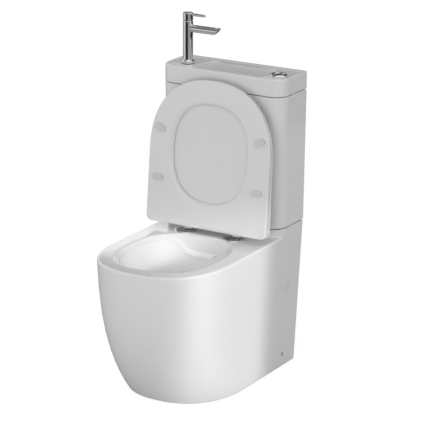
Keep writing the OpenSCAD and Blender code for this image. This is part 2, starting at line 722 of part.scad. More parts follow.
seat_edge = 3;
hole_edge = 5;
ear_radius = 6.4;
ear_width = 14;
knuckle_width = 24;
pin_radius = 4;
damper_radius = 5.5;
fit = 0.05;           // running clearance on a radius
knuckle_out = knuckle_width / 2;
ear_gap = 0.4;
module seat_ring() {
    color(plastic_white) raised() {
        difference() {
            loft([in_seat(seat_plan(seat_edge), 0),
                  in_seat(seat_plan(seat_edge * 0.35), 0.1),
                  in_seat(seat_plan(0), 0.3),
                  in_seat(seat_plan(0), 0.7),
                  in_seat(seat_plan(seat_edge * 0.35), 0.9),
                  in_seat(seat_plan(seat_edge), 1)]);
            loft([in_seat(hole_plan(seat_hole_bevel), -0.1),
                  in_seat(hole_plan(seat_hole_bevel), 0),
                  in_seat(hole_plan(seat_hole_bevel * 0.5), 0.12),
                  in_seat(hole_plan(seat_hole_bevel * 0.12), 0.32),
                  in_seat(hole_plan(0), 0.5),
                  in_seat(hole_plan(0), 0.7),
                  in_seat(hole_plan(hole_edge * 0.3), 0.9),
                  in_seat(hole_plan(hole_edge), 1),
                  in_seat(hole_plan(hole_edge), 1.1)]);
            tail_relief();
        }
        seat_ears();
    }
}
// Between the hinges the tail's underside is scooped out about the hinge axis, to pass over the rosettes
sweep_radius = -seat_under - 0.5;
relief_width = hinge_pitch + 2 * rosette_radius + 6;
relief_start = 6;
module tail_relief() {
    difference() {
        translate([-relief_width / 2, -relief_start, seat_under - cut])
            cube([relief_width, seat_tail + relief_start + cut, -seat_under]);
        translate([-relief_width / 2 - cut, 0, 0]) rotate([0, 90, 0])
            cylinder(r = sweep_radius, h = relief_width + 2 * cut);
    }
}
// The seat's two ears, inboard of the hinge posts
module seat_ears() {
    for (side = [-1, 1]) {
        x = side * (hinge_pitch / 2 - knuckle_out - ear_gap - ear_width / 2);
        difference() {
            union() {
                translate([x, 0, 0]) rotate([0, 90, 0])
                    cylinder(r = ear_radius, h = ear_width, center = true);
                translate([x - ear_width / 2, -ear_radius, seat_under + seat_thickness_back / 2])
                    cube([ear_width, 2 * ear_radius, -seat_under - seat_thickness_back / 2]);
            }
            translate([x, 0, 0]) rotate([0, 90, 0])
                cylinder(r = pin_radius + fit, h = ear_width + 2 * cut, center = true);
        }
    }
}

lid_edge = 4;
damper_length = 44;
module lid() {
    notch_inner = hinge_pitch / 2 - knuckle_out - ear_gap - ear_width - ear_gap;
    notch_outer = hinge_pitch / 2 + knuckle_out + ear_gap;
    notch_start = ear_radius + 1.2;
    color(plastic_white) raised() difference() {
        loft([in_lid(seat_plan(1.2), 0),
              in_lid(seat_plan(0.3), 0.06),
              in_lid(seat_plan(0), 0.2),
              in_lid(seat_plan(0), 0.6),
              in_lid(seat_plan(lid_edge * 0.3), 0.86),
              in_lid(seat_plan(lid_edge), 1)]);
        lid_dish();
        for (side = [-1, 1]) {
            translate([side > 0 ? notch_inner : -notch_outer, -notch_start, -hinge_rise])
                cube([notch_outer - notch_inner, seat_tail + notch_start + cut, 2 * hinge_rise]);
            translate([side * (notch_outer - cut), 0, 0]) rotate([0, side * 90, 0])
                cylinder(r = damper_radius + fit, h = damper_length + cut);
        }
    }
}
// Shallow dish on the side that faces the seat
dish_inset = 26;
dish_back = 34;
dish_share = 0.3;     // depth of the dish as a share of the lid's thickness
module lid_dish() {
    half_w = seat_width / 2 - dish_inset;
    half_l = (seat_reach - dish_back - dish_inset) / 2;
    middle_y = -(dish_back + half_l);
    loft([for (step = [[-1, -0.12], [4, 0.5], [12, 0.9], [24, 1]])
        in_lid(oval(half_w - step[0], half_l - step[0], middle_y, 2.5, seat_steps), dish_share * step[1])]);
}

// Rubber buffers under the seat, two along its sides and two turned towards its middle
buffer_length = 34;
buffer_width = 18;
buffer_x = seat_width / 2 - 33;
buffer_back = 113;
buffer_front = 252;
buffer_height = seat_clearance - running_gap;
module buffer(turn) {
    reach = (buffer_length - buffer_width) / 2;
    translate([0, 0, seat_under - buffer_height]) rotate(turn) hull()
        for (end = [-1, 1]) translate([end * reach, 0, 0])
            cylinder(r = buffer_width / 2, h = buffer_height, $fn = 32);
}
module seat_buffers() {
    color(rubber_grey) raised() for (side = [-1, 1]) {
        translate([side * buffer_x, -buffer_back, 0]) buffer(0);
        translate([side * buffer_x, -buffer_front, 0]) buffer(-side * 21);
    }
}
// Small round buffers that keep the lid off the seat
lid_buffer_radius = 6;
lid_slope = atan((seat_thickness_back - seat_thickness_front) / seat_reach);
module lid_buffers() {
    color(rubber_grey) raised() for (side = [-1, 1], reach = [70, 300])
        translate([side * (seat_half_width(reach) - dish_inset / 2), -reach, seat_top(-reach) + running_gap])
            rotate([lid_slope, 0, 0]) cylinder(r = lid_buffer_radius, h = lid_gap - running_gap - 0.1);
}

// Hinge posts: a foot plate on the deck, a post behind the seat's tail and a knuckle on the axis
rosette_y = hinge_y + 5;
foot_radius = 24;
foot_thickness = 2.2;
post_y = hinge_y + seat_tail + 3.5;
post_depth = 12;
module hinge_post() {
    post_top = hinge_rise + 5.6;
    difference() {
        union() {
            translate([0, rosette_y, 0]) cylinder(r = foot_radius, h = foot_thickness);
            translate([-knuckle_width / 2, post_y, 0]) cube([knuckle_width, post_depth, post_top]);
            translate([-knuckle_width / 2, hinge_y, hinge_rise - 4.4])
                cube([knuckle_width, post_y - hinge_y + cut, 10]);
            translate([0, hinge_y, hinge_rise]) rotate([0, 90, 0])
                cylinder(r = 5.6, h = knuckle_width, center = true);
        }
        translate([0, hinge_y, hinge_rise]) rotate([0, 90, 0])
            cylinder(r = pin_radius + fit, h = knuckle_width + 2 * cut, center = true);
        translate([0, rosette_y, -cut]) cylinder(r = 4.3, h = foot_thickness + 2 * cut);
    }
}
module hinge_post_left() {
    color(chrome_grey) translate([-hinge_pitch / 2, 0, rim_height]) hinge_post();
}
module hinge_post_right() {
    color(chrome_grey) translate([hinge_pitch / 2, 0, rim_height]) hinge_post();
}

// Domed covers over the foot plates, open at the back round the post
rosette_height = 4.6;
module hinge_rosette() {
    skin = 1;
    difference() {
        translate([0, rosette_y, 0]) rotate_extrude() polygon([
            [0, rosette_height], [rosette_radius * 0.62, rosette_height - 0.3],
            [rosette_radius * 0.86, rosette_height - 1.3], [rosette_radius * 0.97, rosette_height - 2.9],
            [rosette_radius, 0], [rosette_radius - skin, 0],
            [rosette_radius * 0.97 - skin, rosette_height - 3.2],
            [rosette_radius * 0.84, rosette_height - skin - 1.2],
            [rosette_radius * 0.62, rosette_height - skin - 0.2],
            [0, rosette_height - skin]]);
        translate([-knuckle_width / 2 - running_gap, post_y - running_gap, -cut])
            cube([knuckle_width + 2 * running_gap, rosette_radius, rosette_height + 2 * cut]);
    }
}
module hinge_rosette_left() {
    color(chrome_grey) translate([-hinge_pitch / 2, 0, rim_height]) hinge_rosette();
}
module hinge_rosette_right() {
    color(chrome_grey) translate([hinge_pitch / 2, 0, rim_height]) hinge_rosette();
}

// Soft-close dampers: a barrel in the lid and a shaft through the post into the seat's ear
module hinge_dampers() {
    shaft = ear_gap + knuckle_width + ear_gap + ear_width - 1;
    color(plastic_grey) translate([0, hinge_y, hinge_z]) for (side = [-1, 1])
        translate([side * (hinge_pitch / 2 + knuckle_out + ear_gap), 0, 0]) rotate([0, side * 90, 0]) {
            translate([0, 0, 0.4]) cylinder(r = damper_radius, h = damper_length - 1);
            translate([0, 0, -shaft]) cylinder(r = pin_radius, h = shaft + 1);
        }
}

// Seat fixings through the deck
seat_bolt_length = 56;
seat_bolt_radius = 4;
module seat_bolts() {
    color(brass_yellow) pair(hinge_pitch / 2) translate([0, rosette_y, rim_height + foot_thickness]) {
        cylinder(r = 8, h = 1.2);
        translate([0, 0, -seat_bolt_length]) cylinder(r = seat_bolt_radius, h = seat_bolt_length + 0.5);
    }
}
washer_thickness = 5;
module seat_bolt_washers() {
    color(rubber_grey) pair(hinge_pitch / 2)
        translate([0, rosette_y, rim_height - deck_thickness - washer_thickness])
            tube(12, seat_bolt_radius + 0.1, washer_thickness);
}
module wing_nut(bore, height) {
    difference() {
        union() {
            cylinder(r = bore + 4, h = height);
            translate([-15, -2, 1]) cube([30, 4, height - 2]);
        }
        translate([0, 0, -cut]) cylinder(r = bore, h = height + 2 * cut);
    }
}
module seat_bolt_nuts() {
    color(plastic_white) pair(hinge_pitch / 2)
        translate([0, rosette_y, rim_height - deck_thickness - washer_thickness - 14])
            wing_nut(seat_bolt_radius + 0.05, 14);
}

// ---------------------------------------------------------------- tap
tap_top_z = basin_top_z + tap_height;
seam_z = tap_top_z - tap_cap_height;
pivot_drop = 12;      // the handle's tilt axis below the seam
pivot_z = seam_z - pivot_drop;
column_bore = tap_radius - 2.2;
rim_chamfer = 1.7;
module at_tap(z) {
    translate([-tap_offset, tap_y, z]) children();
}
cartridge_height = 26;
module tap_body() {
    flare = tap_radius + 4;
    spout_z = basin_top_z + spout_height;
    color(chrome_grey) difference() {
        union() {
            at_tap(deck_z + 1.5) rotate_extrude() polygon([
                [0, 0], [flare - 0.6, 0], [flare, 0.8], [flare, 6], [flare - 0.9, 7.3],
                [tap_radius + 1, 8.2],
                [tap_radius, 10],
                [tap_radius, seam_z - tap_seam - deck_z - 1.5 - rim_chamfer],
                [tap_radius - rim_chamfer, seam_z - tap_seam - deck_z - 1.5],
                [0, seam_z - tap_seam - deck_z - 1.5]]);
            at_tap(spout_z) rotate([0, 90, 0]) cylinder(r = spout_radius, h = spout_reach);
        }
        // bore for the cartridge and the handle's stem
        at_tap(pivot_z - 4 - cartridge_height)
            cylinder(r = column_bore, h = cartridge_height + pivot_drop + 6);
        // the end of the spout is cut at a slant, with a seat for the aerator
        translate([-tap_offset + spout_reach, tap_y, spout_z + spout_radius]) rotate([0, 45, 0])
            translate([0, -30, -60]) cube([60, 60, 120]);
        aerator_place() translate([0, 0, -9]) cylinder(r = aerator_radius + 0.1, h = 12);
        // waterway down the column
        at_tap(deck_z) cylinder(r = 5, h = 60);
    }
}
aerator_radius = 8;
module aerator_place() {
    translate([-tap_offset + spout_reach - spout_radius, tap_y, basin_top_z + spout_height])
        rotate([0, 135, 0]) children();
}
module tap_aerator() {
    color(plastic_grey) aerator_place() translate([0, 0, -8]) difference() {
        cylinder(r = aerator_radius, h = 7.2);
        translate([0, 0, 5.4]) cylinder(r = aerator_radius - 1.6, h = 4);
    }
}
module tap_base_seal() {
    color(rubber_grey) at_tap(deck_z) tube(tap_radius + 3, 10.2, 1.5);
}
// Threaded shank, washer and nut that clamp the tap to the deck
shank_radius = 10;
shank_length = 46;
module tap_shank() {
    color(brass_yellow) at_tap(deck_z + 1.5 - shank_length) tube(shank_radius, 4.8, shank_length);
}
module tap_shank_nut() {
    color(brass_yellow) at_tap(basin_under_z - 10) {
        hex_nut(30, shank_radius + 0.05, 7);
        translate([0, 0, 7]) tube(21, shank_radius + 0.05, 3);
    }
}
// Cartridge in the column, with the spindle that turns in it
cartridge_bore = 6.5;
module tap_cartridge() {
    color(plastic_grey) at_tap(pivot_z - 4 - cartridge_height) difference() {
        cylinder(r = column_bore - 0.05, h = cartridge_height);
        translate([0, 0, 10]) cylinder(r = cartridge_bore, h = cartridge_height);
    }
}
stem_width = 4;
fork_gap = stem_width + 2 * running_gap;
tilt_pin_radius = 1.5;
module tap_spindle() {
    color(plastic_white) at_tap(0) difference() {
        union() {
            translate([0, 0, pivot_z - 4 - cartridge_height + 10.2])
                cylinder(r = cartridge_bore - fit, h = cartridge_height - 6);
            translate([0, 0, pivot_z - 3.4]) cylinder(r = 7.4, h = 6.6);
        }
        translate([-10, -fork_gap / 2, pivot_z - 7]) cube([20, fork_gap, 14]);
        translate([0, 0, pivot_z]) rotate([90, 0, 0])
            cylinder(r = tilt_pin_radius + 0.02, h = 20, center = true);
    }
}
module tap_tilt_pin() {
    color(chrome_grey) at_tap(pivot_z) rotate([90, 0, 0])
        cylinder(r = tilt_pin_radius, h = 13, center = true);
}
// Cap with the stem that reaches down to the tilt axis
cap_wall = 1.8;
cap_roof = 9;
module tap_handle_cap() {
    top_edge = 1.4;
    color(chrome_grey) at_tap(0) difference() {
        union() {
            translate([0, 0, seam_z]) difference() {
                rotate_extrude() polygon([
                    [0, 0], [tap_radius - 0.2, 0], [tap_radius, 0.4],
                    [tap_radius, tap_cap_height - top_edge],
                    [tap_radius - top_edge * 0.3, tap_cap_height - top_edge * 0.3],
                    [tap_radius - top_edge, tap_cap_height], [0, tap_cap_height]]);
                translate([0, 0, -cut])
                    cylinder(r = tap_radius - cap_wall, h = tap_cap_height - cap_roof + cut);
            }
            translate([-stem_width / 2, -stem_width / 2, pivot_z])
                cube([stem_width, stem_width, pivot_drop + tap_cap_height - cap_roof + 0.5]);
            translate([0, 0, pivot_z]) rotate([90, 0, 0]) cylinder(r = 3.2, h = stem_width, center = true);
        }
        translate([0, 0, pivot_z]) rotate([90, 0, 0])
            cylinder(r = tilt_pin_radius + fit, h = 20, center = true);
        lever_seat();
    }
}
lever_root = 4.1;
lever_tip = 3.6;
lever_z = tap_top_z - 5.3;
module lever_seat() {
    translate([tap_radius - 6, 0, lever_z]) rotate([0, 90, 0]) cylinder(r = 2.55, h = 20);
}
module tap_lever() {
    color(chrome_grey) translate([-tap_offset, tap_y, lever_z]) rotate([0, 90, 0]) {
        translate([0, 0, tap_radius - 5.8]) cylinder(r = 2.5, h = 8);
        translate([0, 0, tap_radius + 0.1]) rotate_extrude() polygon([
            [0, 0], [lever_root - 0.3, 0], [lever_root, 0.3], [lever_tip, lever_reach - tap_radius - 3],
            [lever_tip * 0.92, lever_reach - tap_radius - 1.4],
            [lever_tip * 0.7, lever_reach - tap_radius - 0.5],
            [0, lever_reach - tap_radius - 0.1]]);
    }
}
// Hose from the tap's shank down to its fitting in the cistern floor
hose_radius = 6;
fitting_top = cistern_inside_z + 24;
module tap_hose() {
    top = deck_z + 1.5 - shank_length;
    color(plastic_grey) hull() {
        translate([-tap_inlet_x, inlet_y, fitting_top]) cylinder(r = hose_radius, h = 1);
        at_tap(top - 1) cylinder(r = hose_radius, h = 1);
    }
}
fitting_flange = 5;
module tap_inlet_fitting() {
    color(brass_yellow) translate([-tap_inlet_x, inlet_y, cistern_inside_z]) {
        cylinder(r = 15, h = fitting_flange);
        translate([0, 0, fitting_flange]) cylinder(r = 12 / cos(30), h = 10, $fn = 6);
        translate([0, 0, 15]) cylinder(r = 7.5, h = fitting_top - cistern_inside_z - 15);
        inlet_tail();
    }
}
// Tail of an inlet: a shank through the cistern's floor and its nut, a relief groove,
// and the thread for the supply
inlet_nut_height = 10;
tail_length = 48;
thread_length = 20;
module inlet_tail() {
    shank_length = cistern_floor + inlet_nut_height;
    translate([0, 0, -shank_length]) cylinder(r = inlet_shank, h = shank_length + 1);
    translate([0, 0, -tail_length]) cylinder(r = inlet_radius - 1, h = tail_length);
    translate([0, 0, -tail_length]) cylinder(r = inlet_radius, h = thread_length);
}

// ---------------------------------------------------------------- flush button
module at_button(z) {
    translate([button_offset, tap_y, z]) children();
}
sleeve_radius = button_hole - 0.5;
sleeve_length = 34;
well = button_radius + running_gap;
module button_bezel() {
    color(chrome_grey) at_button(deck_z) difference() {
        union() {
            rotate_extrude() polygon([
                [0, 0], [bezel_radius - 0.4, 0], [bezel_radius, bezel_height * 0.35],
                [bezel_radius - 1.2, bezel_height * 0.72], [bezel_radius - 4, bezel_height],
                [well + 3, bezel_height], [well + 1, bezel_height - 1], [well, bezel_height - 2.4],
                [0, bezel_height - 2.4]]);
            translate([0, 0, -sleeve_length]) cylinder(r = sleeve_radius, h = sleeve_length + 1);
        }
        translate([0, 0, -sleeve_length - cut])
            cylinder(r = well, h = sleeve_length + bezel_height + 2 * cut);
    }
}
nut_height = 9;
module button_nut() {
    color(plastic_white) at_button(basin_under_z - nut_height)
        tube(sleeve_radius + 4, sleeve_radius + fit, nut_height);
}
// Each half button is a half disc with a plunger below it
button_thickness = 4;
button_top = bezel_height - 1.6;
plunger_length = sleeve_length + button_top - button_thickness + 2;
plunger_radius = 9;
split = 0.4;          // half the slot between the two buttons
module half_button(side) {
    at_button(deck_z + button_top) difference() {
        union() {
            translate([0, 0, -button_thickness]) rotate_extrude() polygon([
                [0, 0], [button_radius, 0], [button_radius, button_thickness - 1],
                [button_radius - 1, button_thickness], [0, button_thickness - 0.5]]);
            translate([0, 0, -button_thickness - plunger_length])
                cylinder(r = plunger_radius, h = plunger_length + 1);
        }
        translate([side > 0 ? -button_radius - cut : -split, -button_radius - cut,
                   -plunger_length - 3 * button_thickness])
            cube([button_radius + cut + split, 2 * (button_radius + cut),
                  plunger_length + 4 * button_thickness]);
    }
}
module button_full_flush() {
    color(chrome_grey) half_button(-1);
}
module button_half_flush() {
    color(chrome_grey) half_button(1);
}
// Housing under the buttons that works the cable
housing_length = 26;
housing_floor = housing_length - button_travel - 8;
housing_collar = 8;
module button_housing() {
    at_button(deck_z - sleeve_length - housing_length) color(plastic_grey) difference() {
        cylinder(r = sleeve_radius + 2, h = housing_length + housing_collar);
        translate([0, 0, housing_length]) cylinder(r = sleeve_radius + 0.05, h = housing_collar + cut);
        translate([0, 0, housing_floor]) cylinder(r = plunger_radius + 1.5, h = housing_length);
    }
}

// ---------------------------------------------------------------- inside the cistern
cable_radius = 4;
cable_bend = 34;
actuator_rise = 226;
actuator_z = cistern_inside_z + actuator_rise;
actuator_height = 34;
actuator_half = 30;
cable_z = actuator_z + actuator_height / 2;
cable_top = deck_z - sleeve_length - housing_length;
module flush_cable() {
    color(rubber_grey) {
        at_button(cable_z + cable_bend) cylinder(r = cable_radius, h = cable_top - cable_z - cable_bend);
        translate([button_offset - cable_bend, tap_y, cable_z + cable_bend]) rotate([-90, 0, 0])
            rotate_extrude(angle = 90) translate([cable_bend, 0]) circle(r = cable_radius);
        translate([actuator_half, tap_y, cable_z]) rotate([0, 90, 0])
            cylinder(r = cable_radius, h = button_offset - cable_bend - actuator_half);
    }
}

// Flush valve: a flange and outlet through the floor, four legs and the actuator box
valve_flange = 44;
valve_flange_height = 6;
valve_seat_bore = 24;
leg_circle = 38;
leg_radius = 4.5;
overflow_radius = 17;
outlet_tail = 34;
valve_outlet_radius = outlet_hole - 1;
module flush_valve_body() {
    color(plastic_white) translate([0, flush_y, 0]) difference() {
        union() {
            translate([0, 0, cistern_inside_z]) cylinder(r = valve_flange, h = valve_flange_height);
            translate([0, 0, cistern_inside_z - outlet_tail])
                cylinder(r = valve_outlet_radius, h = outlet_tail + 1);
            for (a = [45 : 90 : 359]) rotate(a) translate([leg_circle, 0, cistern_inside_z])
                cylinder(r = leg_radius, h = actuator_z - cistern_inside_z + 1);
            translate([0, 0, actuator_z]) cylinder(r = leg_circle + leg_radius, h = 5);
            translate([-actuator_half, -actuator_half, actuator_z])
                cube([2 * actuator_half, 2 * actuator_half, actuator_height]);
        }
        translate([0, 0, cistern_inside_z - outlet_tail - cut])
            cylinder(r = valve_seat_bore, h = outlet_tail + valve_flange_height + 2 * cut);
        translate([0, 0, actuator_z - cut])
            cylinder(r = overflow_radius + 0.5, h = actuator_height + 2 * cut);
    }
}
seal_height = 5;
module valve_seal() {
    color(rubber_grey) translate([0, flush_y, cistern_inside_z + valve_flange_height])
        tube(valve_seat_bore + 5, overflow_radius - 3, seal_height);
}
module overflow_tube() {
    base = cistern_inside_z + valve_flange_height + seal_height;
    color(plastic_white) translate([0, flush_y, base]) {
        tube(overflow_radius, overflow_radius - 3, actuator_z + actuator_height + 8 - base);
        tube(valve_seat_bore + 5, overflow_radius - 3, 4);
    }
}
module valve_back_nut() {
    color(plastic_white) translate([0, flush_y, cistern_z - 9]) tube(42, valve_outlet_radius + 0.05, 9);
}
module doughnut_seal() {
    low = plinth_z - well_depth;
    high = cistern_z - 9;
    color(rubber_grey) translate([0, flush_y, low]) rotate_extrude() polygon([
        [valve_outlet_radius + 0.3, 0], [well_radius - 6, 0], [well_radius - 2, 4],
        [well_radius - 2, high - low - 4], [well_radius - 6, high - low],
        [valve_outlet_radius + 0.3, high - low]]);
}

coupling_radius = 4;
coupling_drop = plate + pad_thickness + cistern_floor + 22;
module coupling_bolts() {
    color(brass_yellow) pair(coupling_pitch / 2) translate([0, flush_y, cistern_inside_z + 4]) {
        cylinder(r = 11, h = 3);
        translate([0, 0, -coupling_drop]) cylinder(r = coupling_radius, h = coupling_drop + 1);
    }
}
module coupling_washers() {
    color(rubber_grey) pair(coupling_pitch / 2) translate([0, flush_y, cistern_inside_z])
        tube(14, coupling_radius + 0.1, 4);
}
module coupling_wing_nuts() {
    color(brass_yellow) pair(coupling_pitch / 2) translate([0, flush_y, plinth_z - plate - 12])
        wing_nut(coupling_radius + 0.05, 12);
}

// Fill valve: threaded tail through the floor, column, valve head, and a float that rides on the column
column_radius = 11;
head_rise = 190;
head_radius = 18;
head_height = 26;
float_base = 48;
fill_head_z = cistern_inside_z + head_rise;
float_bottom = cistern_inside_z + float_base;
float_height = 62;
float_radius = 23;
module fill_valve() {
    color(plastic_white) translate([fill_x, inlet_y, 0]) {
        translate([0, 0, cistern_inside_z]) cylinder(r = 17, h = 6);
        translate([0, 0, cistern_inside_z])
            cylinder(r = column_radius, h = fill_head_z - cistern_inside_z + 1);
        translate([0, 0, fill_head_z]) cylinder(r = head_radius, h = head_height);
        translate([0, 0, cistern_inside_z]) inlet_tail();
        translate([0, 0, float_bottom - 4]) cylinder(r = 15, h = 4);
    }
}
module fill_valve_float() {
    color(plastic_grey) translate([fill_x, inlet_y, float_bottom])
        tube(float_radius, column_radius + running_gap, float_height);
}
inlet_nut_across = 34;
module fill_valve_nut() {
    color(plastic_white) for (x = [-tap_inlet_x, fill_x])
        translate([x, inlet_y, cistern_z - inlet_nut_height])
            hex_nut(inlet_nut_across, inlet_shank + 0.05, inlet_nut_height);
}

// ---------------------------------------------------------------- covers and floor fixings
module side_caps() {
    hub_wall = 1.6;
    color(plastic_white) for (side = [-1, 1]) on_side(side, side_cap_height) rotate_extrude() polygon([
        [0, 0.4], [side_cap_hub - hub_wall, 0.4], [side_cap_hub - hub_wall, -pan_wall],
        [side_cap_hub, -pan_wall],
        [side_cap_hub, 0], [side_cap_radius, 0], [side_cap_radius, 0.6], [side_cap_radius - 0.6, 1.2],
        [side_cap_radius * 0.6, 1.9], [0, 2.2]]);
}

// L brackets on the floor, and the screws that hold the pan to them through its sides
bracket_thickness = 3;
bracket_length = 24;
bracket_height = 56;
bracket_foot = 34;
bracket_gap = 1;
bracket_x = pan_half_width(0) - pan_wall - bracket_gap - bracket_thickness;
screw_radius = 3;
module floor_brackets() {
    color(plastic_grey) for (side = [0, 1]) mirror([side, 0, 0])
        translate([bracket_x, side_cap_y - bracket_length / 2, 0]) difference() {
            union() {
                cube([bracket_thickness, bracket_length, bracket_height]);
                translate([-bracket_foot, 0, 0]) cube([bracket_foot + 1, bracket_length, bracket_thickness]);
            }
            translate([-bracket_foot / 2, bracket_length / 2, -cut])
                cylinder(r = floor_hole_radius, h = bracket_thickness + 2 * cut);
            translate([-cut, bracket_length / 2, side_screw_height]) rotate([0, 90, 0])
                cylinder(r = screw_radius + 0.1, h = bracket_thickness + 2 * cut);
        }
}
module side_screws() {
    head_seat = pan_half_width(side_screw_height) - pan_wall + 2;
    color(chrome_grey) for (side = [-1, 1]) translate([0, side_cap_y, side_screw_height])
        rotate([0, side * 90, 0]) {
        translate([0, 0, head_seat]) cylinder(r = side_screw_hole - 0.8, h = 3);
        translate([0, 0, bracket_x - 6]) cylinder(r = screw_radius, h = head_seat - bracket_x + 7);
    }
}

pan();
cistern();
basin_top();
basin_pads();
cistern_pads();
seat_ring();
lid();
seat_buffers();
lid_buffers();
hinge_post_left();
hinge_post_right();
hinge_rosette_left();
hinge_rosette_right();
hinge_dampers();
seat_bolts();
seat_bolt_washers();
seat_bolt_nuts();
tap_body();
tap_handle_cap();
tap_lever();
tap_cartridge();
tap_spindle();
tap_tilt_pin();
tap_aerator();
tap_base_seal();
tap_shank();
tap_shank_nut();
tap_hose();
tap_inlet_fitting();
basin_waste();
basin_waste_nut();
button_bezel();
button_full_flush();
button_half_flush();
button_nut();
button_housing();
flush_cable();
flush_valve_body();
overflow_tube();
valve_seal();
valve_back_nut();
doughnut_seal();
coupling_bolts();
coupling_washers();
coupling_wing_nuts();
fill_valve();
fill_valve_float();
fill_valve_nut();
side_caps();
floor_brackets();
side_screws();
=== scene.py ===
"""How the close-coupled toilet with a wash basin on its cistern looks."""

import json
import logging
import math
from dataclasses import dataclass, field
from enum import Enum
from typing import Iterable, Sequence, Union

import bmesh
import bpy
from mathutils import Matrix, Quaternion, Vector


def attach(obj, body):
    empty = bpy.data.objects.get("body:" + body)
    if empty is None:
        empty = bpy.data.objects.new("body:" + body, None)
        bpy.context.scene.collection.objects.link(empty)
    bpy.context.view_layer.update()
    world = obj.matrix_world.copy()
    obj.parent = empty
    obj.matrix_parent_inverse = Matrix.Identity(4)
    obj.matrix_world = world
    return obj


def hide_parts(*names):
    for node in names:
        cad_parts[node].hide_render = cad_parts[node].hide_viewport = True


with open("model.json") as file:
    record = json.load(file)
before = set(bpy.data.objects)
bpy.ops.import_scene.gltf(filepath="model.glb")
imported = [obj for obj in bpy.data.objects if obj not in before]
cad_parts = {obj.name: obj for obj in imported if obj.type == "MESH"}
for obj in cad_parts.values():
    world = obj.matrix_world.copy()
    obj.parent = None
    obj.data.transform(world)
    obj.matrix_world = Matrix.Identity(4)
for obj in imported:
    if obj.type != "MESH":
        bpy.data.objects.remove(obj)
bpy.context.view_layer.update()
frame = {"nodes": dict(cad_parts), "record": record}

# Pieces are shaped in millimetres, and points nearer than WELD become one. An edge whose faces meet
# at more than SHARP degrees, or METAL_SHARP on metal, stays sharp.
LOG = logging.getLogger("toilet")
MM = 0.001
WELD = 1e-4
SHARP, METAL_SHARP = 34.0, 40.0
ROUND_STEPS, LATHE_STEPS, PLAN_STEPS = 64, 96, 128
ALONG_X = Matrix.Rotation(math.radians(90), 4, "Y")
Point2 = tuple[float, float]
Point3 = tuple[float, float, float]
Plan = list[Point2]
Loop = list[Point3]
Edges = list[bmesh.types.BMEdge]
Object, Socket, Material = bpy.types.Object, bpy.types.NodeSocket, bpy.types.Material
Number = Union[float, "Signal"]


# Curves
def mix(a: float, b: float, share: float) -> float:
    """Returns the value at a share of the way from a to b."""
    return a + (b - a) * share


def signed_power(value: float, power: float) -> float:
    """Returns the power of the size of a value, with the value's sign."""
    return math.copysign(abs(value) ** power, value)


def oval(half_w: float, half_l: float, middle: Point2, power: float, steps: int) -> Plan:
    """Draws a superellipse, anticlockwise from above.

    Args:
        half_w: half of its width, along X.
        half_l: half of its length, along Y.
        middle: its centre.
        power: its squareness, 2 for an ellipse.
        steps: how many points it has.

    Returns:
        The points.
    """
    points = []
    for i in range(steps):
        a = 2 * math.pi * i / steps
        points.append((middle[0] + half_w * signed_power(math.cos(a), 2 / power),
                       middle[1] + half_l * signed_power(math.sin(a), 2 / power)))
    return points


def circle(radius: float, middle: Point2) -> Plan:
    """Draws a circle, anticlockwise from above."""
    return oval(radius, radius, middle, 2.0, ROUND_STEPS)


def tank_ring(half_w: float, back_y: float, depth: float, radius: float, z: float) -> Loop:
    """Draws a ring round the tank: flat back, rounded front corners and a front that bows out.

    Args:
        half_w: half of its width.
        back_y: where its back stands.
        depth: from the back to the middle of the front.
        radius: of the front corners.
        z: its height.

    Returns:
        The points, anticlockwise from above.
    """
    bow, arc, flat = 3.0, 20, 24
    flat_w, front_y = half_w - radius, back_y - depth
    corner_y = front_y + bow * (flat_w / half_w) ** 2 + radius

    def corner(x: float, start: float) -> Plan:
        """Returns the quarter circle about x, from a start in half turns."""
        turns = (math.pi * (start + 0.5 * i / arc) for i in range(arc + 1))
        return [(x + radius * math.cos(a), corner_y + radius * math.sin(a)) for a in turns]

    places = (mix(-flat_w, flat_w, i / flat) for i in range(1, flat))
    front = [(x, front_y + bow * (x / half_w) ** 2) for x in places]
    back = [(half_w, back_y), (-half_w, back_y)]
    return at_height(corner(-flat_w, 1.0) + front + corner(flat_w, 1.5) + back, z)


def at_height(plan: Plan, z: float) -> Loop:
    """Returns a plan laid at a height."""
    return [(x, y, z) for x, y in plan]


def smooth_rows(rows: Sequence[Sequence[float]], steps: int) -> list[list[float]]:
    """Puts more rows between rows of numbers, on a curve that passes through them.

    Args:
        rows: the rows that the curve passes through.
        steps: how many rows there are for each stretch.

    Returns:
        All the rows.
    """
    last = len(rows) - 1
    out = []
    for i in range(last):
        near = [rows[min(max(i + k, 0), last)] for k in (-1, 0, 1, 2)]
        for k in range(steps):
            t = k / steps
            out.append([0.5 * (2 * q + (r - p) * t + (2 * p - 5 * q + 4 * r - s) * t * t
                               + (3 * q - p - 3 * r + s) * t ** 3) for p, q, r, s in zip(*near)])
    return out + [list(rows[last])]


def rounding(width: float) -> Plan:
    """Returns how far each point of a rounded rim lies in from the side and down from the top."""
    turns = (math.radians(degrees) for degrees in range(0, 91, 15))
    return [(width * (1 - math.cos(a)), width * (1 - math.sin(a))) for a in turns]


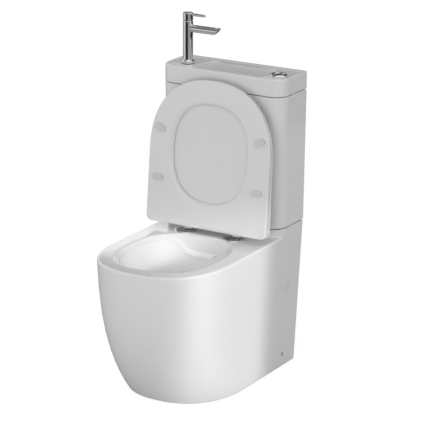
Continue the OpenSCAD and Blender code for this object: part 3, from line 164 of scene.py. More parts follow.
# Meshes
class Clay:
    """A piece's mesh while it is being shaped, in millimetres."""

    def __init__(self) -> None:
        """Starts with an empty mesh."""
        self.bm = bmesh.new()

    def ring(self, points: Sequence[Point3]) -> Edges:
        """Draws a closed ring of edges and returns them."""
        verts = [self.bm.verts.new(p) for p in points]
        return [self.bm.edges.new((a, b)) for a, b in zip(verts, verts[1:] + verts[:1])]

    def draw_out(self, edges: Edges, points: Sequence[Point3]) -> Edges:
        """Extrudes a ring to a new place.

        Args:
            edges: the ring, in order.
            points: where the ring's points go, in the same order.

        Returns:
            The new ring, in order.
        """
        starts = self.in_order(edges)
        found = bmesh.ops.extrude_edge_only(self.bm, edges=list(edges))["geom"]
        fresh = {v for v in found if isinstance(v, bmesh.types.BMVert)}
        moved = [next(e.other_vert(v) for e in v.link_edges if e.other_vert(v) in fresh)
                 for v in starts]
        for vert, point in zip(moved, points):
            vert.co = point
        return [self.bm.edges.get((a, b)) for a, b in zip(moved, moved[1:] + moved[:1])]

    @staticmethod
    def in_order(edges: Edges) -> list[bmesh.types.BMVert]:
        """Finds the points of a ring.

        Args:
            edges: the ring, in order.

        Returns:
            Its points, one for each edge, in the same order.
        """
        vert = next(v for v in edges[0].verts if v not in edges[1].verts)
        verts = []
        for edge in edges:
            verts.append(vert)
            vert = edge.other_vert(vert)
        return verts

    def loft(self, rings: Sequence[Loop], start: bool = False,
             end: bool = False) -> tuple[Edges, Edges]:
        """Makes a skin through rings with equal numbers of points.

        Args:
            rings: the rings, in order.
            start: whether the first ring is closed with a face.
            end: whether the last ring is closed with a face.

        Returns:
            The edges of the first ring and of the last.
        """
        first = self.ring(rings[0])
        edges = first
        for points in rings[1:]:
            edges = self.draw_out(edges, points)
        for ring, wanted in ((first, start), (edges, end)):
            if wanted:
                bmesh.ops.contextual_create(self.bm, geom=list(ring))
        return first, edges

    def fill(self, *rings: Edges) -> None:
        """Fills the flat area between rings, the outer one and its holes."""
        edges = [e for ring in rings for e in ring]
        bmesh.ops.triangle_fill(self.bm, use_beauty=True, use_dissolve=False, edges=edges)

    def turned(self, profile: Sequence[Point2], place: Matrix, steps: int = LATHE_STEPS) -> None:
        """Turns a profile round an axis, as on a lathe.

        Args:
            profile: radius and height of each point; a closed outline where it is hollow.
            place: where the axis stands.
            steps: how many faces go round.
        """
        old = set(self.bm.verts)
        verts = [self.bm.verts.new((r, 0, z)) for r, z in profile]
        edges = [self.bm.edges.new((a, b)) for a, b in zip(verts, verts[1:])]
        bmesh.ops.spin(self.bm, geom=verts + edges, axis=(0, 0, 1), cent=(0, 0, 0), dvec=(0, 0, 0),
                       angle=2 * math.pi, steps=steps, use_merge=True, use_duplicate=False)
        made = [v for v in self.bm.verts if v not in old]
        bmesh.ops.remove_doubles(self.bm, verts=made, dist=WELD)
        bmesh.ops.transform(self.bm, matrix=place, verts=[v for v in made if v.is_valid])

    def rod(self, radius: float, length: float, place: Matrix, bevel: float = 0.0,
            steps: int = ROUND_STEPS) -> None:
        """Makes a round rod that stands on the place's origin.

        Args:
            radius: of the rod.
            length: along its axis.
            place: where it starts and how it is turned.
            bevel: width of the rounding of its two ends.
            steps: how many faces go round.
        """
        middle = place @ Matrix.Translation((0, 0, length / 2))
        made = bmesh.ops.create_cone(self.bm, cap_ends=True, cap_tris=False, segments=steps,
                                     radius1=radius, radius2=radius, depth=length, matrix=middle)
        if bevel > 0:
            verts = set(made["verts"])
            ends = [f for f in self.bm.faces if len(f.verts) > 4 and f.verts[0] in verts]
            self.bevel([e for f in ends for e in f.edges], bevel)

    def block(self, low: Point3, high: Point3) -> None:
        """Makes a block between two opposite corners."""
        size, middle = Vector(high) - Vector(low), (Vector(high) + Vector(low)) / 2
        bmesh.ops.create_cube(self.bm, size=1.0,
                              matrix=Matrix.Translation(middle) @ Matrix.Diagonal((*size, 1)))

    def bevel(self, edges: Iterable[bmesh.types.BMEdge], width: float, segments: int = 3) -> None:
        """Rounds edges off."""
        bmesh.ops.bevel(self.bm, geom=list(edges), offset=width, offset_type="OFFSET",
                        affect="EDGES", segments=segments, profile=0.5, material=-1)

    def slice_off(self, point: Point3, normal: Point3, reach: float) -> bmesh.types.BMFace:
        """Cuts off all that lies beyond a plane and closes the cut.

        Args:
            point: a point of the plane.
            normal: the plane's direction, towards what goes.
            reach: how near to the plane a vertex counts as on it.

        Returns:
            The face that closes the cut.
        """
        geom = self.bm.verts[:] + self.bm.edges[:] + self.bm.faces[:]
        bmesh.ops.bisect_plane(self.bm, geom=geom, dist=reach, plane_co=point, plane_no=normal,
                               clear_outer=True)
        rim = [e for e in self.bm.edges if len(e.link_faces) == 1]
        return bmesh.ops.contextual_create(self.bm, geom=rim)["faces"][0]

    def move(self, place: Matrix) -> None:
        """Moves the whole mesh to its place."""
        bmesh.ops.transform(self.bm, matrix=place, verts=self.bm.verts[:])

    def bake(self, name: str, sharp: float = SHARP) -> Object:
        """Turns the mesh into an object in metres, smooth but for its sharp edges.

        Args:
            name: of the object.
            sharp: angle in degrees above which an edge stays sharp.

        Returns:
            The object.
        """
        bmesh.ops.remove_doubles(self.bm, verts=self.bm.verts[:], dist=WELD)
        bmesh.ops.recalc_face_normals(self.bm, faces=self.bm.faces[:])
        bmesh.ops.scale(self.bm, vec=(MM, MM, MM), verts=self.bm.verts[:])
        return finish_mesh(self.bm, name, sharp)


def add_object(name: str, data: bpy.types.ID) -> Object:
    """Puts an object round its data into the scene and returns it."""
    obj = bpy.data.objects.new(name, data)
    bpy.context.scene.collection.objects.link(obj)
    return obj


def add_mesh(name: str, bm: bmesh.types.BMesh) -> Object:
    """Puts a mesh into the scene.

    Args:
        name: of the object and its mesh.
        bm: the mesh, which is freed.

    Returns:
        The object.
    """
    mesh = bpy.data.meshes.new(name)
    bm.to_mesh(mesh)
    bm.free()
    return add_object(name, mesh)


def mark_sharp(bm: bmesh.types.BMesh, sharp: float) -> None:
    """Makes edges smooth where two faces meet at less than an angle in degrees."""
    for edge in bm.edges:
        edge.smooth = len(edge.link_faces) == 2 and edge.calc_face_angle(0.0) < math.radians(sharp)


def finish_mesh(bm: bmesh.types.BMesh, name: str, sharp: float) -> Object:
    """Writes a mesh to a new object, with smooth faces and normals that follow the large ones.

    Args:
        bm: the mesh, which is freed.
        name: of the object.
        sharp: angle in degrees above which an edge stays sharp.

    Returns:
        The object.
    """
    for face in bm.faces:
        face.smooth = True
    mark_sharp(bm, sharp)
    obj = add_mesh(name, bm)
    obj.modifiers.new("weigh", "WEIGHTED_NORMAL").keep_sharp = True
    return obj


def join(obj: Object, other: Object) -> Object:
    """Adds another object's mesh to an object.

    Args:
        obj: what it is added to.
        other: what is added, and deleted.

    Returns:
        The first object.
    """
    bm = bmesh.new()
    for mesh in (obj.data, other.data):
        bm.from_mesh(mesh)
    bpy.data.objects.remove(other)
    mark_sharp(bm, SHARP)
    bm.to_mesh(obj.data)
    bm.free()
    return obj


def carve(obj: Object, cutter: Object) -> None:
    """Cuts one object out of another and deletes the cutter.

    Args:
        obj: what is carved; its modifiers stay as they are.
        cutter: what is taken out of it.
    """
    cut = obj.modifiers.new("cut", "BOOLEAN")
    cut.operation = "DIFFERENCE"
    cut.solver = "EXACT"
    cut.object = cutter
    for modifier in obj.modifiers:
        modifier.show_viewport = modifier.name == "cut"
    bpy.context.view_layer.update()
    whole = obj.evaluated_get(bpy.context.evaluated_depsgraph_get())
    mesh = bpy.data.meshes.new_from_object(whole)
    obj.modifiers.remove(cut)
    for modifier in obj.modifiers:
        modifier.show_viewport = True
    obj.data = mesh
    bpy.data.objects.remove(cutter)


# Finishes
class Signal:
    """A number that varies over a surface, written in Python's own arithmetic."""

    def __init__(self, graph: "Graph", socket: Socket) -> None:
        """Keeps the graph and the socket that the number comes from."""
        self.graph = graph
        self.socket = socket

    def combine(self, operation: str, left: Number, right: Number) -> "Signal":
        """Adds a Math node and returns its result."""
        node = self.graph.node("ShaderNodeMath", {"operation": operation}, {0: left, 1: right})
        return Signal(self.graph, node.outputs[0])

    def __add__(self, other: Number) -> "Signal":
        """Adds."""
        return self.combine("ADD", self, other)

    __radd__ = __add__

    def __mul__(self, other: Number) -> "Signal":
        """Multiplies."""
        return self.combine("MULTIPLY", self, other)

    __rmul__ = __mul__


class Graph:
    """The nodes of one finish, or of the surroundings."""

    def __init__(self, name: str, kind: str = "materials", shader: str = "Principled BSDF") -> None:
        """Starts on a new material or world, with its shader and the surface coordinates.

        Args:
            name: of the material or the world.
            kind: materials or worlds.
            shader: the name of its shader's node.
        """
        self.owner = getattr(bpy.data, kind).new(name)
        self.owner.use_nodes = True
        self.nodes, self.links = self.owner.node_tree.nodes, self.owner.node_tree.links
        self.shader = self.nodes[shader]
        self.place = self.node("ShaderNodeTexCoord", {}, {}).outputs["Object"]

    def node(self, kind: str, settings: dict, values: dict) -> bpy.types.Node:
        """Adds a node.

        Args:
            kind: the node's type.
            settings: its own settings, which are made first.
            values: what goes into its sockets, numbers, colours, sockets or signals.

        Returns:
            The node.
        """
        made = self.nodes.new(kind)
        for key, value in settings.items():
            setattr(made, key, value)
        for key, value in values.items():
            self.feed(made.inputs[key], value)
        return made

    def feed(self, socket: Socket, value: object) -> None:
        """Feeds a socket.

        Args:
            socket: the socket.
            value: a number, a colour, another socket or a signal.
        """
        source = value.socket if isinstance(value, Signal) else value
        if isinstance(source, Socket):
            self.links.new(source, socket)
        else:
            socket.default_value = source

    def noise(self, scale: float, detail: float, stretch: Point3 = (1, 1, 1)) -> Signal:
        """Adds a noise pattern.

        Args:
            scale: how many waves there are in a metre.
            detail: how many finer layers it has.
            stretch: how much faster it changes along each axis.

        Returns:
            Its strength, from 0 to 1.
        """
        mapping = self.node("ShaderNodeMapping", {}, {"Vector": self.place, "Scale": stretch})
        made = self.node("ShaderNodeTexNoise", {},
                         {"Vector": mapping.outputs[0], "Scale": scale, "Detail": detail})
        return Signal(self, made.outputs[0])

    def tint(self, share: Signal, low: Point3, high: Point3) -> Socket:
        """Blends two colours by a signal and returns the result."""
        made = self.node("ShaderNodeMix", {"data_type": "RGBA"},
                         {0: share, 6: (*low, 1.0), 7: (*high, 1.0)})
        return made.outputs[2]

    def bump(self, height: Signal, strength: float, distance: float) -> Socket:
        """Turns a height into a normal and returns it."""
        made = self.node("ShaderNodeBump", {},
                         {"Height": height, "Strength": strength, "Distance": distance})
        return made.outputs[0]

    def surface(self, **values: object) -> bpy.types.ID:
        """Feeds the shader's sockets.

        Args:
            values: sockets by name, with _ in place of each blank.

        Returns:
            The material or the world.
        """
        for key, value in values.items():
            self.feed(self.shader.inputs[key.replace("_", " ")], value)
        return self.owner


@dataclass(frozen=True)
class Glaze:
    """White glazed ceramic: a clear gloss over a very even white body."""

    name: str = "white_glaze"
    white: Point3 = (0.815, 0.815, 0.808)
    shade: Point3 = (0.800, 0.802, 0.800)
    gloss: float = 0.055
    pool_scale: float = 6.0
    ripple_scale: float = 38.0
    pin_scale: float = 900.0
    relief: float = 0.10
    depth: float = 0.0012

    def make(self) -> Material:
        """Mixes the finish.

        Returns:
            The material.
        """
        graph = Graph(self.name)
        pooled = graph.noise(self.pool_scale, 1.0)
        ripple = graph.noise(self.ripple_scale, 1.0)
        pin = graph.noise(self.pin_scale, 2.0)
        return graph.surface(
            Base_Color=graph.tint(pooled, self.shade, self.white),
            Roughness=self.gloss + 0.03 * pooled + 0.02 * pin,
            Normal=graph.bump(ripple * 0.9 + pin * 0.02, self.relief, self.depth),
            IOR=1.52)


@dataclass(frozen=True)
class MouldedPlastic:
    """Moulded plastic, with a very fine grain."""

    name: str
    colour: Point3
    dark: Point3
    roughness: float
    grain: float = 1400.0
    relief: float = 0.05
    depth: float = 0.0002
    flow_scale: float = 9.0

    def make(self) -> Material:
        """Mixes the finish.

        Returns:
            The material.
        """
        graph = Graph(self.name)
        flow = graph.noise(self.flow_scale, 2.0)
        grain = graph.noise(self.grain, 2.0)
        return graph.surface(
            Base_Color=graph.tint(flow, self.dark, self.colour),
            Roughness=self.roughness * (0.85 + 0.3 * flow),
            Normal=graph.bump(grain, self.relief, self.depth),
            IOR=1.49)


@dataclass(frozen=True)
class PlatedMetal:
    """Bright metal with faint smears, or with the marks of turning or brushing."""

    name: str
    colour: Point3
    dull: Point3
    roughness: float
    stretch: Point3 = (1.0, 1.0, 1.0)
    scale: float = 60.0
    marks: float = 0.02
    finer: float = 14.0
    depth: float = 0.0002

    def make(self) -> Material:
        """Mixes the finish.

        Returns:
            The material.
        """
        graph = Graph(self.name)
        smear = graph.noise(self.scale, 3.0, self.stretch)
        fine = graph.noise(self.scale * self.finer, 2.0, self.stretch)
        return graph.surface(
            Base_Color=graph.tint(smear, self.dull, self.colour),
            Metallic=1.0,
            Roughness=self.roughness * (0.7 + 0.8 * smear),
            Normal=graph.bump(fine, self.marks, self.depth))


class Finish(Enum):
    """The finishes of the object, one for each material."""

    GLAZE = Glaze()
    SEAT = MouldedPlastic("seat_plastic", (0.80, 0.80, 0.795), (0.785, 0.785, 0.782), 0.16)
    WHITE = MouldedPlastic("white_plastic", (0.78, 0.78, 0.77), (0.75, 0.75, 0.745), 0.24)
    GREY = MouldedPlastic("grey_plastic", (0.20, 0.205, 0.21), (0.17, 0.175, 0.18), 0.45,
                          900.0, 0.15)
    BUFFER = MouldedPlastic("buffer_grey", (0.68, 0.68, 0.68), (0.64, 0.64, 0.64), 0.5,
                            700.0, 0.15)
    RUBBER = MouldedPlastic("black_rubber", (0.022, 0.022, 0.023), (0.014, 0.014, 0.015), 0.7,
                            600.0, 0.3)
    CHROME = PlatedMetal("chrome_plate", (0.76, 0.77, 0.79), (0.70, 0.71, 0.73), 0.06)
    STEEL = PlatedMetal("brushed_steel", (0.58, 0.58, 0.57), (0.48, 0.48, 0.47), 0.32,
                        (1, 1, 14), 90.0, 0.15)
    BRASS = PlatedMetal("turned_brass", (0.72, 0.55, 0.26), (0.58, 0.43, 0.19), 0.30,
                        (1, 1, 9), 120.0, 0.12)


class Workshop:
    """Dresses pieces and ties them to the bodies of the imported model."""

    SLOTS: dict[Finish, str] = {
        Finish.GLAZE: "ceramic", Finish.SEAT: "seat_white", Finish.WHITE: "plastic_white",
        Finish.GREY: "plastic_grey", Finish.BUFFER: "plastic_grey", Finish.RUBBER: "rubber",
        Finish.CHROME: "chrome", Finish.STEEL: "steel", Finish.BRASS: "brass"}

    def __init__(self) -> None:
        """Makes the finishes and notes which body each node is on."""
        bodies = frame["record"]["behaviour"]["bodies"]
        self.materials = {finish: finish.value.make() for finish in Finish}
        self.body_of = {node: body for body, nodes in bodies.items() for node in nodes}

    def skin(self, clay: Clay, finish: Finish, node: str) -> None:
        """Bakes a node's new skin and places it."""
        sharp = METAL_SHARP if finish is Finish.CHROME else SHARP
        self.place(clay.bake(node + ".skin", sharp), finish, node)

    def place(self, obj: Object, finish: Finish, *nodes: str) -> None:
        """Gives a piece its finish and lets it stand for its nodes.

        Args:
            obj: the piece.
            finish: its finish.
            nodes: the nodes it stands for, all on one body.
        """
        obj.data.materials.clear()
        obj.data.materials.append(self.materials[finish])
        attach(obj, self.body_of[nodes[0]])
        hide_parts(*nodes)
        LOG.info("%s made, %d faces, %s", obj.name, len(obj.data.polygons), finish.value.name)

    def dress(self, finish: Finish, *nodes: str) -> None:
        """Gives nodes that keep their own solids a finish.

        Args:
            finish: the finish.
            nodes: the nodes.
        """
        for node in nodes:
            obj = frame["nodes"][node]
            if not obj.material_slots:
                obj.data.materials.append(self.materials[finish])
            for held in obj.material_slots:
                held.material = self.materials[finish]
            LOG.info("%s dressed, %s", node, finish.value.name)


# The object
@dataclass
class SubAssembly:
    """A part of the object, with the workshop that dresses its pieces."""

    shop: Workshop

    def build(self) -> None:
        """Makes and dresses the pieces."""
        raise NotImplementedError


@dataclass
class Pan(SubAssembly):
    """The pan: skirt, deck, plinth and bowl in one casting."""

    sharp: float = 30.0
    merged: float = 2e-6
    sliver: float = 1e-6

    def build(self) -> None:
        """Makes the pan from its own solid, in metres, with smooth curves."""
        bm = bmesh.new()
        bm.from_mesh(frame["nodes"]["pan"].data)
        bmesh.ops.remove_doubles(bm, verts=bm.verts[:], dist=self.merged)
        bmesh.ops.dissolve_degenerate(bm, dist=self.sliver, edges=bm.edges[:])
        self.shop.place(finish_mesh(bm, "pan.skin", self.sharp), Finish.GLAZE, "pan")


@dataclass
class Cistern(SubAssembly):
    """The cistern's body, in millimetres."""

    low: float = 420.0
    high: float = 791.0
    inside: float = 434.0
    wall_y: float = 295.0
    base_w: float = 376.0
    top_w: float = 385.0
    base_d: float = 136.0
    top_d: float = 141.0
    radius: float = 40.0
    wall: float = 10.0
    edge: float = 3.0
    bands: int = 8

    def outline(self, z: float, inset: float, back: float = 0.0) -> Loop:
        """Draws the outline at a height.

        Args:
            z: the height.
            inset: how far it is drawn in at the front and the sides.
            back: how far it is drawn in at the back.

        Returns:
            The points.
        """
        share = (z - self.low) / (self.high - self.low)
        half_w = mix(self.base_w, self.top_w, share) / 2 - inset
        depth = mix(self.base_d, self.top_d, share) - inset - back
        return tank_ring(half_w, self.wall_y - back, depth, self.radius - inset, z)

    def build(self) -> None:
        """Makes the body as one skin, up the outside, over the rim and down the inside."""
        low, high, turn = self.low + self.edge, self.high - self.edge, rounding(self.edge)
        rings = [self.outline(self.low + rise, inset) for rise, inset in turn]
        rings += [self.outline(mix(low, high, k / self.bands), 0) for k in range(1, self.bands)]
        rings += [self.outline(self.high - drop, inset) for inset, drop in turn]
        rings += [self.outline(z, self.wall, self.wall)
                  for z in (self.high, self.high - 1, self.inside + 1, self.inside)]
        clay = Clay()
        clay.loft(rings, True, True)
        self.shop.skin(clay, Finish.GLAZE, "cistern")


@dataclass
class Basin(SubAssembly):
    """The basin that closes the cistern, in millimetres."""

    low: float = 793.0
    top: float = 842.0
    deck: float = 840.0
    under: float = 830.0
    wall_y: float = 295.0
    width: float = 385.0
    depth: float = 141.0
    radius: float = 40.0
    edge: float = 4.0
    wall: float = 10.0
    recess_x: float = 11.0
    recess_front: float = 166.0
    recess_back: float = 277.0
    recess_half_w: float = 107.0
    recess_floor: float = 768.0
    lip: float = 5.0
    tap: Point2 = (-135.0, 210.0)
    button: Point2 = (151.0, 210.0)
    flange: float = 27.0
    floor_wall: float = 7.0
    tap_hole: float = 17.5
    button_hole: float = 20.0
    waste_hole: float = 22.0
    pad_gap: float = 4.0
    slope: Point2 = (6.0, 15.0)
    sunk_back: float = 4.0
    sunk_front: float = 10.0
    bands: int = 8

    @property
    def recess_y(self) -> float:
        """Returns the middle of the recess."""
        return (self.recess_front + self.recess_back) / 2

    @property
    def recess_half_d(self) -> float:
        """Returns half of the recess's depth from front to back."""
        return (self.recess_back - self.recess_front) / 2

    def outline(self, inset: float, z: float) -> Loop:
        """Returns the outer outline, drawn in by an inset."""
        return tank_ring(self.width / 2 - inset, self.wall_y, self.depth - inset,
                         self.radius - inset, z)

    def sunk(self, inset: float, z: float) -> Loop:
        """Returns an outline of the slope from the raised edge to the deck."""
        depth = self.depth - inset - self.sunk_back - self.sunk_front
        return tank_ring(self.width / 2 - inset, self.wall_y - inset - self.sunk_back, depth,
                         self.radius - inset / 2, z)

    def underside(self, z: float) -> Loop:
        """Returns the outline of the inside of the rim."""
        gap = self.wall + self.pad_gap
        return tank_ring(self.width / 2 - gap, self.wall_y - gap, self.depth - 2 * gap,
                         self.radius - gap, z)

    def recess(self, inset_x: float, inset_y: float, z: float, power: float) -> Loop:
        """Returns an outline of the recess."""
        return at_height(oval(self.recess_half_w - inset_x, self.recess_half_d - inset_y,
                              (self.recess_x, self.recess_y), power, PLAN_STEPS), z)

    def outside(self) -> list[Loop]:
        """Draws the outside.

        Returns:
            The rings up the side, over the raised edge and down the slope to the deck.
        """
        side = self.top - self.edge
        rings = [self.outline(2, self.low), self.outline(0.6, self.low + 0.6)]
        rings += [self.outline(0, mix(self.low + 2, side, k / 4)) for k in range(4)]
        rings += [self.outline(inset, self.top - drop) for inset, drop in rounding(self.edge)]
        for k in range(self.bands + 1):
            t = k / self.bands
            rings.append(self.sunk(mix(*self.slope, t),
                                   mix(self.top, self.deck, t * t * (3 - 2 * t))))
        return rings

    def build(self) -> None:
        """Makes the outside, the sunk deck with its holes, the recess and the underside."""
        clay = Clay()
        bottom, deck_edge = clay.loft(self.outside())

        floor, shell_z = self.recess_floor, self.recess_floor - self.floor_wall
        flange_in = self.recess_half_d - self.flange
        rows = [(-drop, -drop, self.deck - inset, 4.8) for inset, drop in rounding(self.lip)]
        rows += smooth_rows([(1.5, 1.5, self.deck - self.lip - 5, 4.8), (6, 5, floor + 32, 4.4),
                             (11, 8, floor + 16, 3.8), (20, 13, floor + 6, 3.2),
                             (33, 20, floor + 1, 2.8), (46, flange_in - 2, floor, 2.6)], 6)
        recess_edge, recess_floor = clay.loft([self.recess(*row) for row in rows])
        tap_top, tap_low = self.hole(clay, self.tap, self.tap_hole, self.deck, self.under)
        button_top, button_low = self.hole(clay, self.button, self.button_hole, self.deck,
                                           self.under)
        clay.fill(deck_edge, recess_edge, tap_top, button_top)
        waste_top, waste_low = self.hole(clay, (self.recess_x, self.recess_y), self.waste_hole,
                                         floor, shell_z)
        clay.fill(recess_floor, waste_top)

        shell = [(-7, -7, self.under, 4.8), (-2, -3, floor + 34, 4.8), (3, 1, floor + 14, 4.2),
                 (12, 8, floor - 3, 3.4), (30, flange_in - 6, shell_z, 2.8)]
        shell_edge, shell_floor = clay.loft([self.recess(*row) for row in shell])
        clay.fill(shell_floor, waste_low)
        inner_low, inner_high = clay.loft([self.underside(z) for z in (self.low, self.under)])
        clay.fill(inner_high, shell_edge, tap_low, button_low)
        clay.fill(bottom, inner_low)
        self.shop.skin(clay, Finish.GLAZE, "basin_top")

    @staticmethod
    def hole(clay: Clay, middle: Point2, radius: float, high: float,
             low: float) -> tuple[Edges, Edges]:
        """Makes the wall of a round hole and returns its upper and lower edges."""
        return clay.loft([at_height(circle(radius, middle), z) for z in (high, low)])


@dataclass
class SeatAndLid(SubAssembly):
    """The seat ring and the lid, drawn lowered about the hinge axis and turned up."""

    axis_y: float = 101.0
    axis_z: float = 426.0
    turn: float = 96.0
    width: float = 380.0
    reach: float = 398.0
    tail: float = 13.5
    nose: float = 208.0
    corner: float = 16.0
    power: float = 2.3
    seat_back: float = 15.0
    seat_front: float = 6.0
    lid_back: float = 14.5
    lid_front: float = 4.5
    gap: float = 1.6
    under: float = -24.5
    hole_w: float = 232.0
    hole_l: float = 272.0
    hole_y: float = -195.0
    hole_power: float = 2.45
    scoop_half_w: float = 111.5
    scoop_y: Point2 = (-6.0, 14.5)
    hinge_x: float = 77.5
    post_half_w: float = 12.0
    play: float = 0.4
    ear_w: float = 14.0
    ear_r: float = 6.4
    ear_round: float = 0.6
    ear_foot: float = 7.5
    notch_y: float = 7.6
    notch_z: float = 31.0
    dish_side: float = 26.0
    dish_back: float = 34.0
    dish_front: float = 26.0
    dish_depth: float = 0.05
    dish_power: float = 2.5

    @property
    def place(self) -> Matrix:
        """Returns the turn from the lowered place to the raised one."""
        return (Matrix.Translation((0, self.axis_y, self.axis_z))
                @ Matrix.Rotation(math.radians(-self.turn), 4, "X"))

    def seat_top(self, y: float) -> float:
        """Returns the height of the seat's top."""
        return self.under + mix(self.seat_back, self.seat_front, -y / self.reach)

    def lid_low(self, y: float) -> float:
        """Returns the height of the lid's underside."""
        return self.seat_top(y) + self.gap

    def lid_top(self, y: float) -> float:
        """Returns the height of the lid's top."""
        return self.lid_low(y) + mix(self.lid_back, self.lid_front, -y / self.reach)

    def plan(self, inset: float) -> Plan:
        """Draws the outline that seat and lid share.

        Args:
            inset: how far it is drawn in.

        Returns:
            The points.
        """
        half_w, back = self.width / 2 - inset, self.tail - inset
        radius = max(self.corner - inset, 2)
        nose_y = self.nose - self.reach
        points = []
        for i in range(PLAN_STEPS + 1):
            a, power = math.pi * (1 + i / PLAN_STEPS), 2 / self.power
            points.append((half_w * signed_power(math.cos(a), power),
                           nose_y + (self.nose - inset) * signed_power(math.sin(a), power)))
        for start, side in ((0, 1), (90, -1)):
            for a in (math.radians(start + d) for d in range(0, 91, 9)):
                points.append((side * (half_w - radius) + radius * math.cos(a),
                               back - radius + radius * math.sin(a)))
        return points

    def in_seat(self, plan: Plan, share: float) -> Loop:
        """Lays a plan at a share of the seat's thickness."""
        return [(x, y, mix(self.under, self.seat_top(y), share)) for x, y in plan]

    def in_lid(self, plan: Plan, share: float) -> Loop:
        """Lays a plan at a share of the lid's thickness."""
        return [(x, y, mix(self.lid_low(y), self.lid_top(y), share)) for x, y in plan]

    def hole(self, grow: float) -> Plan:
        """Returns the outline of the hole in the seat."""
        return oval(self.hole_w / 2 + grow, self.hole_l / 2 + grow, (0.0, self.hole_y),
                    self.hole_power, PLAN_STEPS)

    def build(self) -> None:
        """Makes both."""
        self.build_seat()
        self.build_lid()

    def build_seat(self) -> None:
        """Makes the ring with its sloped border, the scoop between the hinges and the ears."""
        clay = Clay()
        border = smooth_rows([(3, 0), (1.05, 0.1), (0, 0.3), (0, 0.7), (1.05, 0.9), (3, 1)], 3)
        low, high = clay.loft([self.in_seat(self.plan(inset), share) for inset, share in border])
        throat = smooth_rows([(11, 0), (7.4, 0.08), (3.8, 0.3), (1.4, 0.6), (0.2, 0.88), (0, 0.95),
                              (0.6, 1)], 3)
        hole_low, hole_high = clay.loft([self.in_seat(self.hole(grow), share)
                                         for grow, share in throat])
        clay.fill(low, hole_low)
        clay.fill(high, hole_high)
        clay.move(self.place)
        seat = clay.bake("seat_ring.skin")
        carve(seat, self.scoop())
        self.shop.place(join(seat, self.ears()), Finish.SEAT, "seat_ring")

    def scoop(self) -> Object:
        """Makes what is taken out of the seat's tail, so that it passes over the rosettes.

        Returns:
            The cutter.
        """
        cutter = Clay()
        start, end = self.scoop_y
        sweep, low = -self.under - 0.5, self.under - 1
        arc = [(y, -math.sqrt(sweep ** 2 - y ** 2))
               for y in (mix(end, start, k / 24) for k in range(25))]
        outline = [(start, low), (end, low)] + arc
        cutter.loft([[(x, y, z) for y, z in outline]
                     for x in (-self.scoop_half_w, self.scoop_half_w)], True, True)
        cutter.move(self.place)
        return cutter.bake("scoop")

    def ears(self) -> Object:
        """Makes the two ears on the hinge axis.

        Returns:
            The ears.
        """
        clay = Clay()
        middle = self.hinge_x - self.post_half_w - self.play - self.ear_w / 2
        for side in (-1, 1):
            low, high = (side * middle + end * self.ear_w / 2 for end in (-1, 1))
            clay.rod(self.ear_r, self.ear_w, Matrix.Translation((low, 0, 0)) @ ALONG_X,
                     self.ear_round)
            clay.block((low, -self.ear_r, self.under + self.ear_foot), (high, self.ear_r, 0))
        clay.move(self.place)
        return clay.bake("ears")

    def build_lid(self) -> None:
        """Makes the lid with its dish and its two notches at the hinges."""
        clay = Clay()
        border = smooth_rows([(1.2, 0), (0.3, 0.06), (0, 0.2), (0, 0.6), (1.2, 0.86), (4, 1)], 3)
        low, _ = clay.loft([self.in_lid(self.plan(inset), share) for inset, share in border],
                           end=True)
        half_w = self.width / 2 - self.dish_side
        half_l = (self.reach - self.dish_back - self.dish_front) / 2
        middle = (0.0, -(self.dish_back + half_l))
        slope = smooth_rows([(0, 0), (4, 0.5), (12, 0.9), (24, 1)], 4)
        rings = [(oval(half_w - inset, half_l - inset, middle, self.dish_power, PLAN_STEPS), share)
                 for inset, share in slope]
        dish, _ = clay.loft([self.in_lid(ring, self.dish_depth * share) for ring, share in rings],
                            end=True)
        clay.fill(low, dish)
        clay.move(self.place)
        lid = clay.bake("lid.skin")
        carve(lid, self.notches())
        self.shop.place(lid, Finish.SEAT, "lid")

    def notches(self) -> Object:
        """Makes what is taken out of the lid round the hinge posts and the ears.

        Returns:
            The cutter.
        """
        cutter = Clay()
        inner = self.hinge_x - self.post_half_w - self.play - self.ear_w - self.play
        outer = self.hinge_x + self.post_half_w + self.play
        for side in (-1, 1):
            low, high = sorted((side * inner, side * outer))
            cutter.block((low, -self.notch_y, -self.notch_z), (high, self.tail + 1, self.notch_z))
        cutter.move(self.place)
        return cutter.bake("notches")


